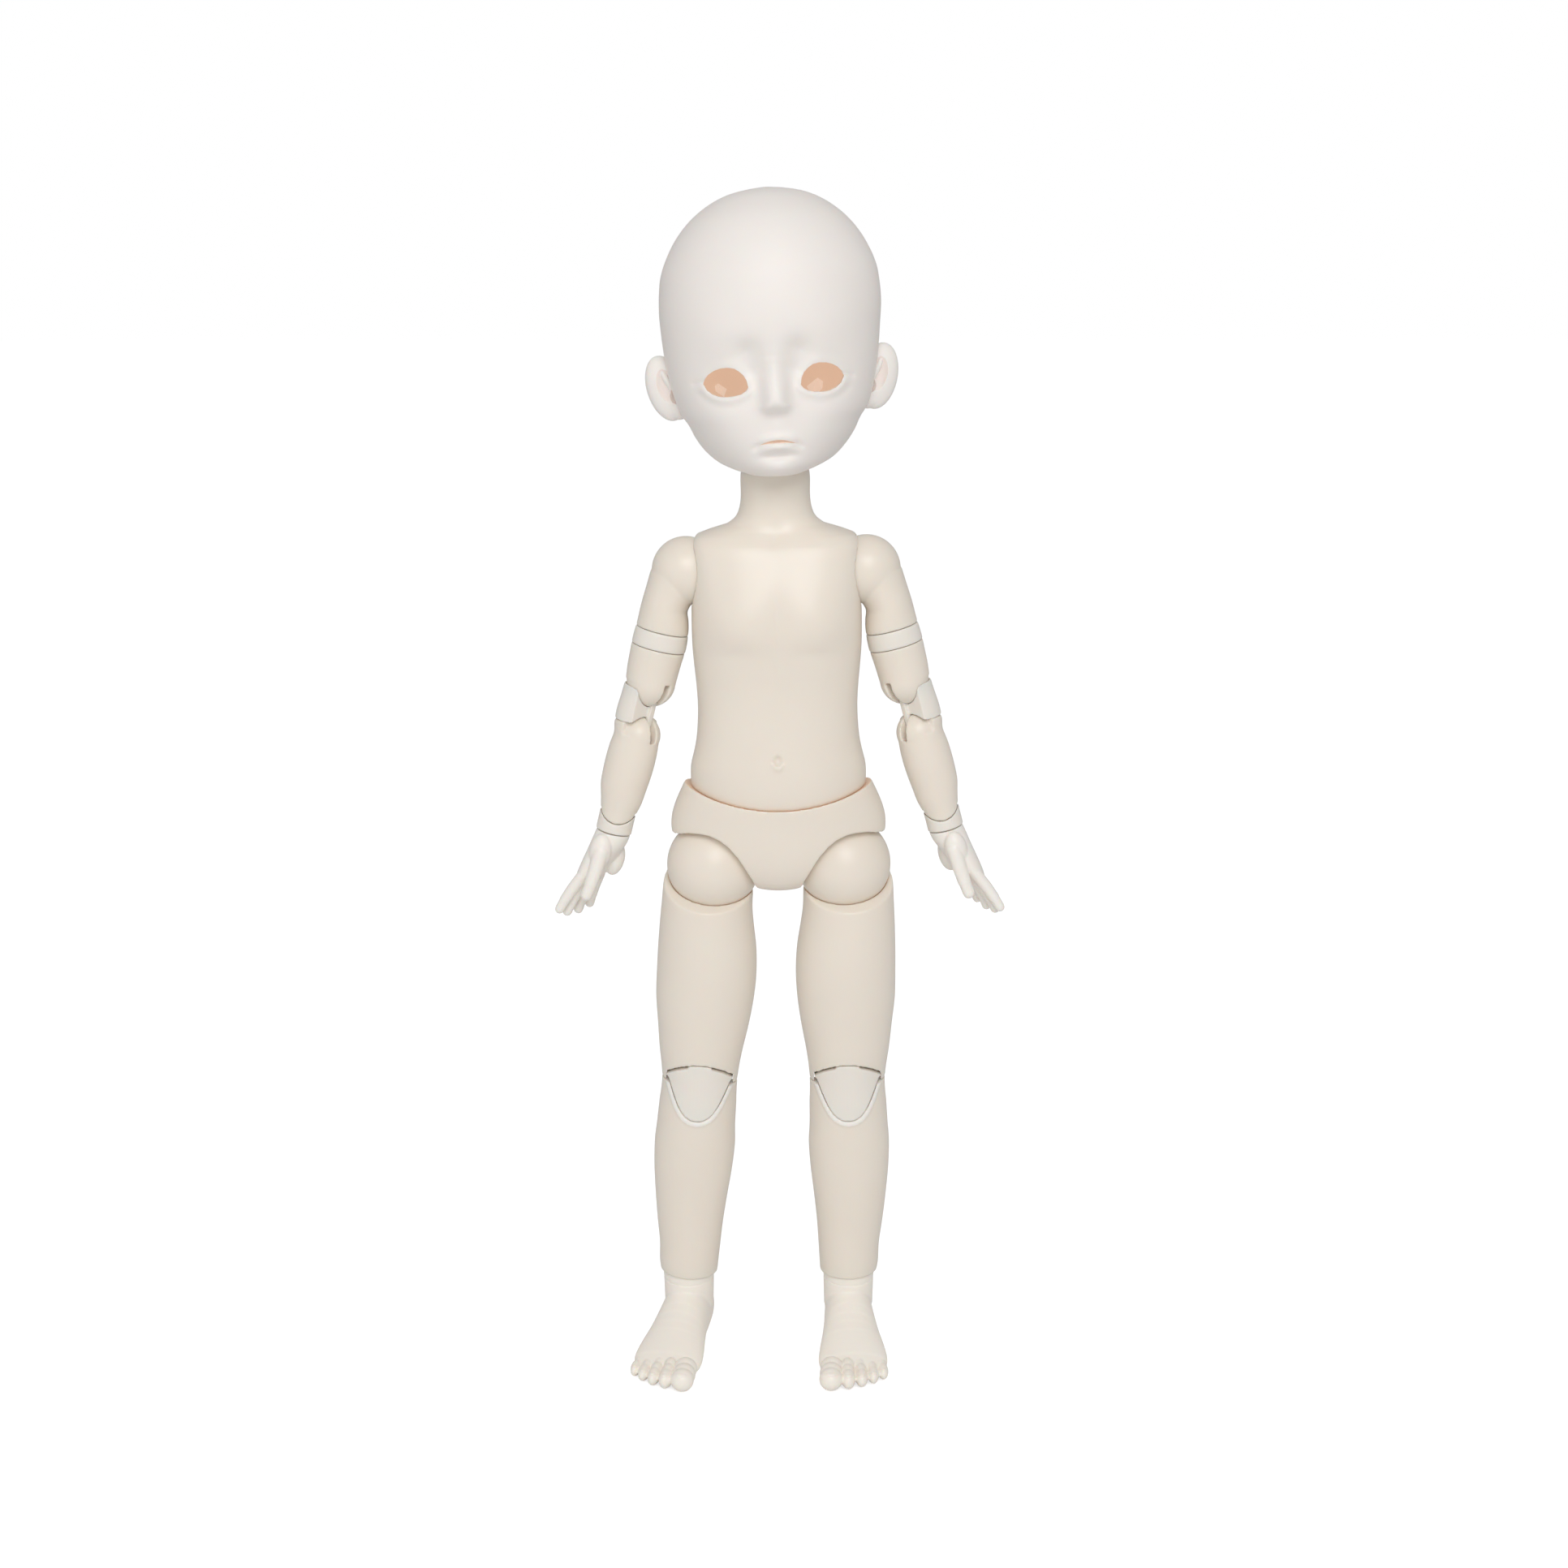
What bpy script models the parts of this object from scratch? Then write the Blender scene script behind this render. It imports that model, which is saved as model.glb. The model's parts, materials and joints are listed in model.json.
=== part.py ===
# A jointed doll of 300 mm, standing with its arms held out a little.
# Metres, +Z up. The doll faces -Y, and its left side is at +X.
# The origin is the middle of the bounding box, on the ground under the feet.
import math

import bmesh
import bpy
from mathutils import Matrix, Vector

# Fits that every joint shares
gap = 0.0003
overrun = 0.006
weld = 0.000002

# Pose, in degrees
torso_lean = -0.15
head_lean = -2.7
head_yaw = 2.0
arm_lean = {"left": 14.4, "right": 14.1}
hand_turn = {"left": 8.0, "right": 22.0}
leg_lean = {"left": 1.17, "right": 3.98}
foot_toe_out = {"left": 1.0, "right": 11.0}
elbow_turn = 43.0
elbow_flex = 65.0
swing_margin = 2.0
hip_inward = 6.0

# Trunk, each height from the joint below it
hip_out = 0.0168
hip_radius = 0.0120
pelvis_drop = 0.0052
pelvis_rise = 0.0292
pelvis_half_width = 0.0274
pelvis_half_depth = 0.0166
waist_rise = 0.055
waist_seat_radius = 0.0405
torso_skirt = 0.0015
torso_half_width = 0.0223
torso_half_depth = 0.0172
neck_rise = 0.044
neck_radius = 0.00865
shoulder_out = 0.0226
shoulder_drop = 0.023
shoulder_radius = 0.0086
navel_rise = 0.0166
navel_radius = 0.0013

# Leg opening of the pelvis, out from the middle and up from its lowest point
crotch_half_width = 0.0056
crotch_rise = 0.0005
groin_out = 0.0083
groin_rise = 0.0062
brief_out = 0.0126
brief_rise = 0.0124
side_out = 0.0200
side_rise = 0.0154
flank_rise = 0.0138

# Waist joint
waist_ball_radius = 0.0075
waist_post_radius = 0.0030
waist_post_foot = 0.0450
waist_flange_radius = 0.0050
waist_flange_height = 0.0020
waist_tongue_half = 0.0020
waist_eye_radius = 0.0042
waist_pin_radius = 0.0015
waist_trunnion_radius = 0.0020
waist_trunnion_grip = 0.0020
waist_sway = 12.0

# Neck joint
neck_cavity_radius = 0.0068
neck_ball_radius = 0.0043
neck_tongue_half = 0.0010
neck_eye_radius = 0.0023
neck_pin_radius = 0.0009
neck_trunnion_radius = 0.0009
neck_trunnion_grip = 0.0013
neck_post_radius = 0.0017
neck_post_foot = 0.0175
neck_flange_radius = 0.0030
neck_flange_height = 0.0015
neck_sway = 16.0
hook_outer_radius = 0.0062
hook_half_width = 0.0015
hook_stem_radius = 0.0016
neck_mouth_radius = 0.0043
head_plate_radius = 0.0050
head_plate_height = 0.0016
head_plate_rise = 0.0113

# Shoulder and hip axles
axle_radius = 0.0018
knuckle_radius = 0.0032
knuckle_half = 0.0020
knuckle_pin_radius = 0.0011
axle_flange_radius = 0.0030
axle_flange_height = 0.0012
shoulder_axle_length = 0.0130
shoulder_raise = 50.0
hip_axle_foot = 0.0005
hip_spread = 45.0
hip_stem_radius = 0.0024
hip_stem_length = 0.0260

# Arm, measured down from the shoulder's centre
arm_length = 0.0676
arm_half_width = 0.0069
arm_half_depth = 0.0067
arm_axis_out = 0.0024
arm_peg_radius = 0.0020
arm_peg_rise = 0.0055
arm_peg_drop = 0.0028
band_top = 0.0162
band_height = 0.0044
elbow_upper_drop = 0.0298
elbow_lower_drop = 0.0438
elbow_upper_radius = 0.0062
elbow_lower_radius = 0.0055
elbow_axis_out = 0.0022
elbow_plate_half = 0.0011
elbow_plate_upper_radius = 0.0031
elbow_plate_lower_radius = 0.0027
elbow_pin_radius = 0.0010
elbow_cap_out = 0.0003
elbow_cap_margin = 0.0016
wrist_drop = 0.0618
wrist_out = 0.0030
wrist_radius = 0.0052
wrist_ring_radius = 0.0046
wrist_ring_foot = 0.0079
wrist_pin_radius = 0.0008
wrist_tongue_half = 0.0010
wrist_eye_radius = 0.0024
wrist_bend = 30.0
hand_peg_radius = 0.0013
hand_peg_length = 0.0045

# Hand, measured down from the wrist ring
palm_half_thick = 0.0044
palm_half_width = 0.0060
palm_length = 0.0150
palm_slant = 0.0048
finger_radius = 0.0017
finger_length = 0.0125
finger_spacing = 0.0029
finger_slant = 24.0
finger_spread = 2.5
thumb_radius = 0.0021
thumb_length = 0.0128
thumb_out = 0.0015
thumb_front = 0.0040
thumb_drop = 0.0042

# Leg, measured down from the hip's centre
leg_length = 0.113
leg_half_width = 0.013
leg_half_depth = 0.0124
thigh_rim_drop = 0.0046
thigh_rim_slope = 27.0
knee_split_drop = 0.0580
knee_radius = 0.0082
knee_plate_half = 0.0030
knee_plate_radius = 0.0062
knee_pin_radius = 0.0013
knee_flex = 65.0
knee_cap_half_width = 0.0086
knee_cap_half_height = 0.0078
knee_cap_drop = 0.0016
ankle_drop = 0.1130
ankle_in = 0.00045
ankle_radius = 0.0068
ankle_column_radius = 0.0064
ankle_column_drop = 0.0060
ankle_tongue_half = 0.0016
ankle_eye_radius = 0.0030
ankle_pin_radius = 0.0011
ankle_post_radius = 0.0022
ankle_post_length = 0.0130
ankle_sway = 24.0
shin_rim_lift = 0.0006

# Foot, measured from the middle of the ankle ball
sole_drop = 0.0180
foot_length = 0.0360
foot_half_width = 0.0095
instep_drop = 0.0026

# Head, up from the middle of the neck joint; the face, up from the chin
head_foot_rise = 0.0012
head_rise = 0.0688
head_half_width = 0.0272
head_half_depth = 0.0290
head_wall = 0.0024
head_split_back = 0.0100
bowl_wall = 0.0020
eye_out = 0.0115
eye_rise = 0.0240
eye_half_width = 0.0056
eye_half_height = 0.0034
ear_out = 0.0270
ear_rise = 0.0223
ear_half_width = 0.0042
ear_half_height = 0.0092
ear_half_depth = 0.0030
ear_back = 0.0015
ear_hollow_share = 0.62
nose_up = 0.0198
nose_rise = 0.0042
nose_half_width = 0.0030
nose_half_height = 0.0042
brow_out = 0.0085
brow_up = 0.0313
brow_depth = 0.0018
brow_half_size = 0.0055
mouth_up = 0.0090
mouth_half_width = 0.0052
lip_rise = 0.0012
lip_half_height = 0.0017
cheek_out = 0.0130
cheek_up = 0.0128
cheek_rise = 0.0012
cheek_half_size = 0.0075

# Heights from the ground
hip_height = ankle_drop + sole_drop
pelvis_foot_height = hip_height - pelvis_drop
crotch_height = pelvis_foot_height + crotch_rise
groin_height = pelvis_foot_height + groin_rise
brief_height = pelvis_foot_height + brief_rise
side_height = pelvis_foot_height + side_rise
flank_height = pelvis_foot_height + flank_rise
waist_height = hip_height + waist_rise
torso_foot_height = waist_height - waist_seat_radius - torso_skirt
neck_height = waist_height + neck_rise
torso_rise = neck_height - torso_foot_height
shoulder_height = neck_height - shoulder_drop
navel_height = torso_foot_height + navel_rise
head_foot_height = neck_height + head_foot_rise
eye_height = head_foot_height + eye_rise
ear_height = head_foot_height + ear_rise
nose_height = head_foot_height + nose_up
brow_height = head_foot_height + brow_up
mouth_height = head_foot_height + mouth_up
cheek_height = head_foot_height + cheek_up

# Sections of the torso: height, half width, depth in front, depth behind,
# and how round the section is, where 1 is an ellipse and less is boxier
torso_shares = (
    (0.000, 0.897, 0.698, 0.698, 1.00),
    (0.099, 1.000, 0.849, 0.831, 1.00),
    (0.153, 1.000, 0.855, 0.802, 1.00),
    (0.233, 0.933, 0.814, 0.733, 0.96),
    (0.337, 0.908, 0.779, 0.698, 0.92),
    (0.453, 0.939, 0.849, 0.744, 0.88),
    (0.547, 0.960, 0.977, 0.826, 0.84),
    (0.593, 0.960, 1.000, 0.860, 0.80),
    (0.651, 0.955, 0.965, 0.872, 0.74),
    (0.709, 0.946, 0.884, 0.849, 0.66),
    (0.767, 0.942, 0.779, 0.791, 0.60),
    (0.812, 0.937, 0.686, 0.709, 0.58),
    (0.837, 0.915, 0.593, 0.640, 0.66),
    (0.851, 0.753, 0.547, 0.593, 0.80),
    (0.867, 0.547, 0.517, 0.547, 0.92),
    (0.884, 0.462, 0.506, 0.523, 1.00),
    (0.907, 0.413, 0.503, 0.512, 1.00),
    (0.990, 0.388, 0.503, 0.503, 1.00),
)
# Sections of the pelvis: height, half width, depth in front, depth behind
pelvis_shares = (
    (0.000, 0.255, 0.482, 0.512),
    (0.041, 0.420, 0.602, 0.663),
    (0.127, 0.639, 0.711, 0.807),
    (0.229, 0.821, 0.783, 0.916),
    (0.349, 0.949, 0.825, 0.976),
    (0.486, 1.000, 0.849, 1.000),
    (0.616, 1.000, 0.867, 1.000),
    (0.733, 0.967, 0.892, 0.976),
    (0.846, 0.916, 0.904, 0.940),
    (0.932, 0.872, 0.898, 0.910),
    (1.000, 0.836, 0.880, 0.892),
)
# Sections of a leg: drop from the hip, shift outward, half width, front, back
leg_shares = (
    (0.004, 0.069, 0.862, 0.871, 0.935),
    (0.097, 0.077, 0.908, 0.919, 1.000),
    (0.195, 0.019, 0.985, 0.960, 0.984),
    (0.257, 0.000, 1.000, 0.952, 0.968),
    (0.381, 0.004, 0.915, 0.871, 0.871),
    (0.442, 0.015, 0.838, 0.823, 0.774),
    (0.522, 0.000, 0.762, 0.766, 0.702),
    (0.575, 0.008, 0.781, 0.758, 0.758),
    (0.673, 0.015, 0.819, 0.734, 0.919),
    (0.735, 0.019, 0.796, 0.710, 0.919),
    (0.867, 0.008, 0.677, 0.645, 0.710),
    (0.929, -0.019, 0.623, 0.629, 0.645),
    (0.995, -0.035, 0.585, 0.621, 0.621),
)
# Sections of an arm: drop from the shoulder, shift outward, half width, depth
arm_shares = (
    (0.015, 0.145, 1.101, 1.194),
    (0.080, 0.319, 0.928, 1.060),
    (0.145, 0.457, 0.848, 1.040),
    (0.220, 0.362, 0.957, 1.015),
    (0.286, 0.348, 1.000, 1.000),
    (0.394, 0.362, 0.949, 0.940),
    (0.500, 0.362, 0.928, 0.881),
    (0.561, 0.391, 0.942, 0.866),
    (0.614, 0.406, 0.913, 0.836),
    (0.656, 0.391, 0.855, 0.821),
    (0.705, 0.406, 0.899, 0.866),
    (0.758, 0.420, 0.913, 0.896),
    (0.858, 0.449, 0.855, 0.821),
    (0.909, 0.420, 0.768, 0.746),
    (0.955, 0.435, 0.667, 0.672),
    (1.000, 0.449, 0.609, 0.627),
)
# Sections of a foot, heel to ball: place behind the ankle, shift outward,
# middle height below the ankle, half width, depth below, height above
foot_shares = (
    (0.256, 0.000, -0.694, 0.274, 0.139, 0.139),
    (0.239, 0.000, -0.667, 0.484, 0.378, 0.306),
    (0.167, 0.000, -0.667, 0.642, 0.444, 0.528),
    (0.056, 0.000, -0.667, 0.716, 0.444, 0.639),
    (-0.083, 0.000, -0.667, 0.747, 0.444, 0.611),
    (-0.222, 0.011, -0.667, 0.779, 0.444, 0.433),
    (-0.361, 0.021, -0.722, 0.832, 0.389, 0.333),
    (-0.500, 0.032, -0.778, 0.905, 0.333, 0.256),
    (-0.639, 0.032, -0.833, 0.968, 0.278, 0.189),
    (-0.778, 0.021, -0.867, 1.000, 0.244, 0.144),
    (-0.861, 0.011, -0.878, 0.947, 0.233, 0.111),
)
# Toes from the big one outward: sideways place, tip, half width, half height
toe_shares = (
    (-0.66, 1.00, 0.305, 0.150),
    (-0.20, 0.97, 0.200, 0.125),
    (0.17, 0.935, 0.190, 0.115),
    (0.50, 0.89, 0.180, 0.110),
    (0.80, 0.83, 0.175, 0.105),
)
toe_length_share = 0.16
# Sections of the head: height, middle of the depth, half width, half depth
head_shares = (
    (0.000, -0.620, 0.150, 0.100),
    (0.022, -0.560, 0.330, 0.270),
    (0.060, -0.430, 0.550, 0.480),
    (0.110, -0.270, 0.690, 0.670),
    (0.170, -0.130, 0.780, 0.810),
    (0.240, -0.050, 0.855, 0.880),
    (0.320, -0.010, 0.920, 0.930),
    (0.410, 0.020, 0.965, 0.965),
    (0.500, 0.030, 0.985, 0.990),
    (0.580, 0.040, 1.000, 1.000),
    (0.660, 0.045, 0.985, 0.990),
    (0.730, 0.045, 0.955, 0.960),
    (0.790, 0.045, 0.905, 0.910),
    (0.850, 0.045, 0.825, 0.830),
    (0.900, 0.045, 0.720, 0.725),
    (0.945, 0.045, 0.570, 0.575),
    (0.978, 0.045, 0.380, 0.385),
    (0.995, 0.045, 0.190, 0.190),
)
front_squeeze_share = 0.93
# Fingers from the index finger back: place across the palm, length
finger_shares = ((-1.50, 0.93), (-0.50, 1.00), (0.50, 0.95), (1.45, 0.80))
# Sections of the palm: drop, shift outward, half thickness, half width
palm_shares = (
    (0.00, 0.00, 1.00, 0.73),
    (0.13, 0.08, 1.00, 0.77),
    (0.33, 0.27, 0.91, 0.88),
    (0.60, 0.57, 0.77, 0.97),
    (0.87, 0.84, 0.64, 0.97),
    (1.00, 1.00, 0.48, 0.90),
)
# Sections of a finger: place along it, radius
finger_row_shares = ((0.0, 1.0), (0.5, 0.97), (0.82, 0.84), (0.95, 0.62), (1.0, 0.25))

doll = bpy.data.collections.new("ball_jointed_doll")
cutters = bpy.data.collections.new("cutters")
origins = {}
paints = {}


def clear_scene():
    for item in list(bpy.data.objects):
        bpy.data.objects.remove(item, do_unlink=True)
    bpy.context.scene.collection.children.link(doll)
    bpy.context.scene.collection.children.link(cutters)


def paint(name, colour, roughness, metallic):
    material = bpy.data.materials.new(name)
    material.use_nodes = True
    shader = material.node_tree.nodes["Principled BSDF"]
    shader.inputs["Base Color"].default_value = (*colour, 1.0)
    shader.inputs["Roughness"].default_value = roughness
    shader.inputs["Metallic"].default_value = metallic
    material.diffuse_color = (*colour, 1.0)
    paints[name] = material


def joint_frame(name, parent, pivot, turn=(0, 0, 0), own=False):
    # An empty on the joint. With own set, the limb below is modelled from here.
    empty = bpy.data.objects.new(name, None)
    cutters.objects.link(empty)
    start = origins[parent.name] if parent else Vector()
    empty.parent = parent
    empty.location = Vector(pivot) - start
    empty.rotation_euler = [math.radians(value) for value in turn]
    origins[empty.name] = Vector() if own else Vector(pivot)
    return empty


def ball(radius, centre=(0, 0, 0), sides=16, rings=8, shape=(1, 1, 1)):
    mesh = bmesh.new()
    place = Matrix.Translation(centre) @ Matrix.Diagonal((*shape, 1))
    bmesh.ops.create_uvsphere(
        mesh, u_segments=sides, v_segments=rings, radius=radius, matrix=place)
    return mesh


def socket(radius, centre=(0, 0, 0), sides=16, rings=8):
    # A ball-shaped cutter whose flats stand clear of a ball of this radius
    flat = math.cos(math.pi / sides) * math.cos(math.pi / rings / 2)
    return ball((radius + gap) / flat, centre, sides, rings)


def rod(radius, start, end, sides=8, end_radius=None):
    mesh = bmesh.new()
    start = Vector(start)
    run = Vector(end) - start
    turn = run.to_track_quat("Z", "Y").to_matrix().to_4x4()
    place = Matrix.Translation(start + run / 2) @ turn
    bmesh.ops.create_cone(
        mesh, cap_ends=True, segments=sides, radius1=radius,
        radius2=radius if end_radius is None else end_radius,
        depth=run.length, matrix=place)
    return mesh


def bore(radius, start, end, sides=8):
    # A round cutter whose flats stand clear of a rod of this radius
    return rod((radius + gap) / math.cos(math.pi / sides), start, end, sides)


def box(low, high):
    mesh = bmesh.new()
    low = Vector(low)
    high = Vector(high)
    place = Matrix.Translation((low + high) / 2) @ Matrix.Diagonal((*(high - low), 1))
    bmesh.ops.create_cube(mesh, size=1, matrix=place)
    return mesh


def slab(outline, axis, half, middle=0):
    # A flat outline drawn across the axis, and extruded to both sides of it
    mesh = bmesh.new()
    corners = []
    for first, second in outline:
        if axis == "X":
            spot = (middle - half, first, second)
        elif axis == "Y":
            spot = (first, middle - half, second)
        else:
            spot = (first, second, middle - half)
        corners.append(mesh.verts.new(spot))
    face = mesh.faces.new(corners)
    extruded = bmesh.ops.extrude_face_region(mesh, geom=[face])["geom"]
    moved = [item for item in extruded if isinstance(item, bmesh.types.BMVert)]
    run = {"X": (half * 2, 0, 0), "Y": (0, half * 2, 0), "Z": (0, 0, half * 2)}
    bmesh.ops.translate(mesh, verts=moved, vec=run[axis])
    return mesh


def loft(rows, sides=24, axis="Z", offset=0):
    # Rings of unlike sections, joined and closed at both ends. A row holds the
    # place along the axis, two centres, half width, depth to each side, and
    # how round the ring is where it isn't an ellipse.
    mesh = bmesh.new()
    rings = []
    for along, across, deep, half, front, back, *round_share in rows:
        power = round_share[0] if round_share else 1
        ring = []
        for step in range(sides):
            angle = math.tau * (step + 1 / 2) / sides
            cosine = math.copysign(abs(math.cos(angle)) ** power, math.cos(angle))
            sine = math.copysign(abs(math.sin(angle)) ** power, math.sin(angle))
            reach = front if sine < 0 else back
            side = across + (half + offset) * cosine
            depth = deep + (reach + offset) * sine
            spot = (side, depth, along) if axis == "Z" else (side, along, depth)
            ring.append(mesh.verts.new(spot))
        rings.append(ring)
    for lower, upper in zip(rings, rings[1:]):
        for step in range(sides):
            after = (step + 1) % sides
            mesh.faces.new((lower[step], lower[after], upper[after], upper[step]))
    mesh.faces.new(list(reversed(rings[0])))
    mesh.faces.new(rings[-1])
    return mesh


def finger(radius, start, end, sides=7):
    start = Vector(start)
    run = Vector(end) - start
    rows = []
    for along, thick in finger_row_shares:
        rows.append((along * run.length, 0, 0, thick * radius, thick * radius,
                     thick * radius))
    mesh = loft(rows, sides)
    place = Matrix.Translation(start) @ run.to_track_quat("Z", "Y").to_matrix().to_4x4()
    bmesh.ops.transform(mesh, matrix=place, verts=mesh.verts)
    return mesh


def turn_mesh(mesh, degrees, axis, centre=(0, 0, 0)):
    bmesh.ops.rotate(
        mesh, verts=mesh.verts, cent=centre,
        matrix=Matrix.Rotation(math.radians(degrees), 3, axis))
    return mesh


def around(radius, first, last, steps):
    # Points of an arc, from the first angle to the last
    points = []
    for step in range(steps + 1):
        angle = math.radians(first + (last - first) * step / steps)
        points.append((radius * math.cos(angle), radius * math.sin(angle)))
    return points


def sweep_outline(radius, first, last, reach):
    # The room of a strip of this half width that swings from first to last
    points = around(radius, last + 90, first + 270, 6)
    below = math.radians(first - 90)
    start = math.radians(first)
    above = math.radians(last + 90)
    stop = math.radians(last)
    points.append((radius * math.cos(below) + reach * math.cos(start),
                   radius * math.sin(below) + reach * math.sin(start)))
    far = reach / math.cos(math.radians((last - first) / 2))
    middle = math.radians((first + last) / 2)
    points.append((far * math.cos(middle), far * math.sin(middle)))
    points.append((radius * math.cos(above) + reach * math.cos(stop),
                   radius * math.sin(above) + reach * math.sin(stop)))
    return points


def moved(outline, across, along):
    return [(first + across, second + along) for first, second in outline]


def solid(name, mesh, frame, side, home):
    # Puts a mesh under its joint; the right side is the left one mirrored
    bmesh.ops.remove_doubles(mesh, verts=mesh.verts, dist=weld)
    bmesh.ops.translate(mesh, verts=mesh.verts, vec=-origins[frame.name])
    if side < 0:
        bmesh.ops.scale(mesh, vec=(-1, 1, 1), verts=mesh.verts)
    bmesh.ops.recalc_face_normals(mesh, faces=mesh.faces)
    data = bpy.data.meshes.new(name)
    mesh.to_mesh(data)
    mesh.free()
    data.shade_smooth()
    data.set_sharp_from_angle(angle=math.radians(38))
    item = bpy.data.objects.new(name, data)
    item.parent = frame
    home.objects.link(item)
    return item


def carve(item, steps, frame, side):
    # A step is a kind, a mesh, any steps that shape that mesh first, and the
    # joint that the mesh is drawn at where that is another one
    for number, step in enumerate(steps):
        kind, mesh = step[0], step[1]
        home = step[3] if len(step) > 3 else frame
        tool = solid(item.name + "_cut_" + str(number), mesh, home, side, cutters)
        tool.hide_render = True
        tool.display_type = "WIRE"
        if len(step) > 2:
            carve(tool, step[2], home, side)
        change = item.modifiers.new(kind.lower(), "BOOLEAN")
        change.operation = kind
        change.solver = "EXACT"
        change.object = tool


def piece(name, mesh, frame, side, colour, steps=()):
    item = solid(name, mesh, frame, side, doll)
    item.data.materials.append(paints[colour])
    carve(item, steps, frame, side)
    return item


cut = "DIFFERENCE"
join = "UNION"
keep = "INTERSECT"


def torso_rows():
    rows = []
    for height, half, front, back, round_share in torso_shares:
        rows.append((torso_foot_height + height * torso_rise, 0, 0,
                     half * torso_half_width, front * torso_half_depth,
                     back * torso_half_depth, round_share))
    for across, up in around(neck_radius, 14, 80, 4):
        rows.append((neck_height + up, 0, 0, across, across, across))
    return rows


def pelvis_rows():
    rows = []
    for height, half, front, back in pelvis_shares:
        rows.append((pelvis_foot_height + height * pelvis_rise, 0, 0,
                     half * pelvis_half_width, front * pelvis_half_depth,
                     back * pelvis_half_depth))
    return rows


def smooth_row(shares, drop):
    # Values of a table at any drop, between its rows
    for above, below in zip(shares, shares[1:]):
        if drop <= below[0]:
            blend = (drop - above[0]) / (below[0] - above[0])
            return [first + (second - first) * blend
                    for first, second in zip(above, below)]
    return list(shares[-1])


def leg_rows(first, last):
    drops = [row[0] for row in leg_shares
             if first / leg_length < row[0] < last / leg_length]
    drops = [first / leg_length] + drops + [last / leg_length]
    rows = []
    for drop in drops:
        row = smooth_row(leg_shares, drop)
        rows.append((-drop * leg_length, row[1] * leg_half_width, 0,
                     row[2] * leg_half_width, row[3] * leg_half_depth,
                     row[4] * leg_half_depth))
    return rows


def arm_rows(first, last):
    drops = [row[0] for row in arm_shares
             if first / arm_length < row[0] < last / arm_length]
    drops = [first / arm_length] + drops + [last / arm_length]
    rows = []
    for drop in drops:
        row = smooth_row(arm_shares, drop)
        rows.append((-drop * arm_length, row[1] * arm_half_width, 0,
                     row[2] * arm_half_width, row[3] * arm_half_depth,
                     row[3] * arm_half_depth))
    return rows


def bump(value, middle, half):
    return math.exp(-((value - middle) / half) ** 2)


def face_relief(side, height):
    # How far the face stands out in front of the plain egg at this place
    reach = abs(side)
    rise = nose_rise * bump(side, 0, nose_half_width) * (
        bump(height, nose_height, nose_half_height)
        + bump(height, nose_height + nose_half_height, nose_half_height) / 2)
    rise += lip_rise * bump(side, 0, mouth_half_width) * bump(
        height, mouth_height, lip_half_height * 2)
    rise -= lip_rise * bump(side, 0, mouth_half_width) * bump(
        height, mouth_height, lip_half_height / 2)
    rise += cheek_rise * bump(reach, cheek_out, cheek_half_size) * bump(
        height, cheek_height, cheek_half_size)
    rise -= brow_depth * bump(reach, brow_out, brow_half_size) * bump(
        height, brow_height, brow_half_size)
    rise -= brow_depth * bump(reach, eye_out, eye_half_width) * bump(
        height, eye_height, eye_half_height * 2)
    return rise


def head_mesh(inset, sides, relief):
    rows = []
    for height, deep, half, depth in head_shares:
        rows.append((head_foot_height + inset + height * (head_rise - inset * 2),
                     0, deep * head_half_depth,
                     max(half * head_half_width - inset, inset / 2),
                     max(depth * head_half_depth - inset, inset / 2),
                     max(depth * head_half_depth - inset, inset / 2)))
    fine = [rows[0]]
    for below, above in zip(rows, rows[1:]):
        if relief and below[0] < brow_height:
            fine.append([(first + second) / 2 for first, second in zip(below, above)])
        fine.append(above)
    mesh = loft(fine, sides)
    for vert in mesh.verts:
        spot = vert.co
        if spot.y < 0:
            spot.y *= front_squeeze_share
            if relief:
                facing = min(1, -spot.y / (head_half_depth / 2))
                spot.y -= face_relief(spot.x, spot.z) * facing
    return mesh


clear_scene()
paint("body_cream", (0.86, 0.78, 0.68), 0.42, 0.0)
paint("head_white", (0.87, 0.85, 0.82), 0.55, 0.0)
paint("link_cream", (0.87, 0.82, 0.74), 0.38, 0.0)
paint("foot_cream", (0.88, 0.78, 0.70), 0.45, 0.0)
paint("joint_nylon", (0.80, 0.77, 0.72), 0.50, 0.0)
paint("pin_steel", (0.62, 0.62, 0.64), 0.28, 1.0)

# The stance: the legs spread unequally, so the pelvis tips a little
stance_tilt = math.degrees(math.asin(
    leg_length * (math.cos(math.radians(leg_lean["left"]))
                  - math.cos(math.radians(leg_lean["right"]))) / (hip_out * 2)))
stance = joint_frame("stance", None, (0, 0, 0), (0, -stance_tilt, 0))

waist = (0, 0, waist_height)
neck = (0, 0, neck_height)
waist_frame = joint_frame("joint_waist", stance, waist)
torso_frame = joint_frame("joint_waist_lean", waist_frame, waist,
                          (0, torso_lean, 0))
neck_frame = joint_frame("joint_neck", torso_frame, neck, (0, 0, head_yaw))
head_frame = joint_frame("joint_neck_tilt", neck_frame, neck, (0, head_lean, 0))

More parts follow.
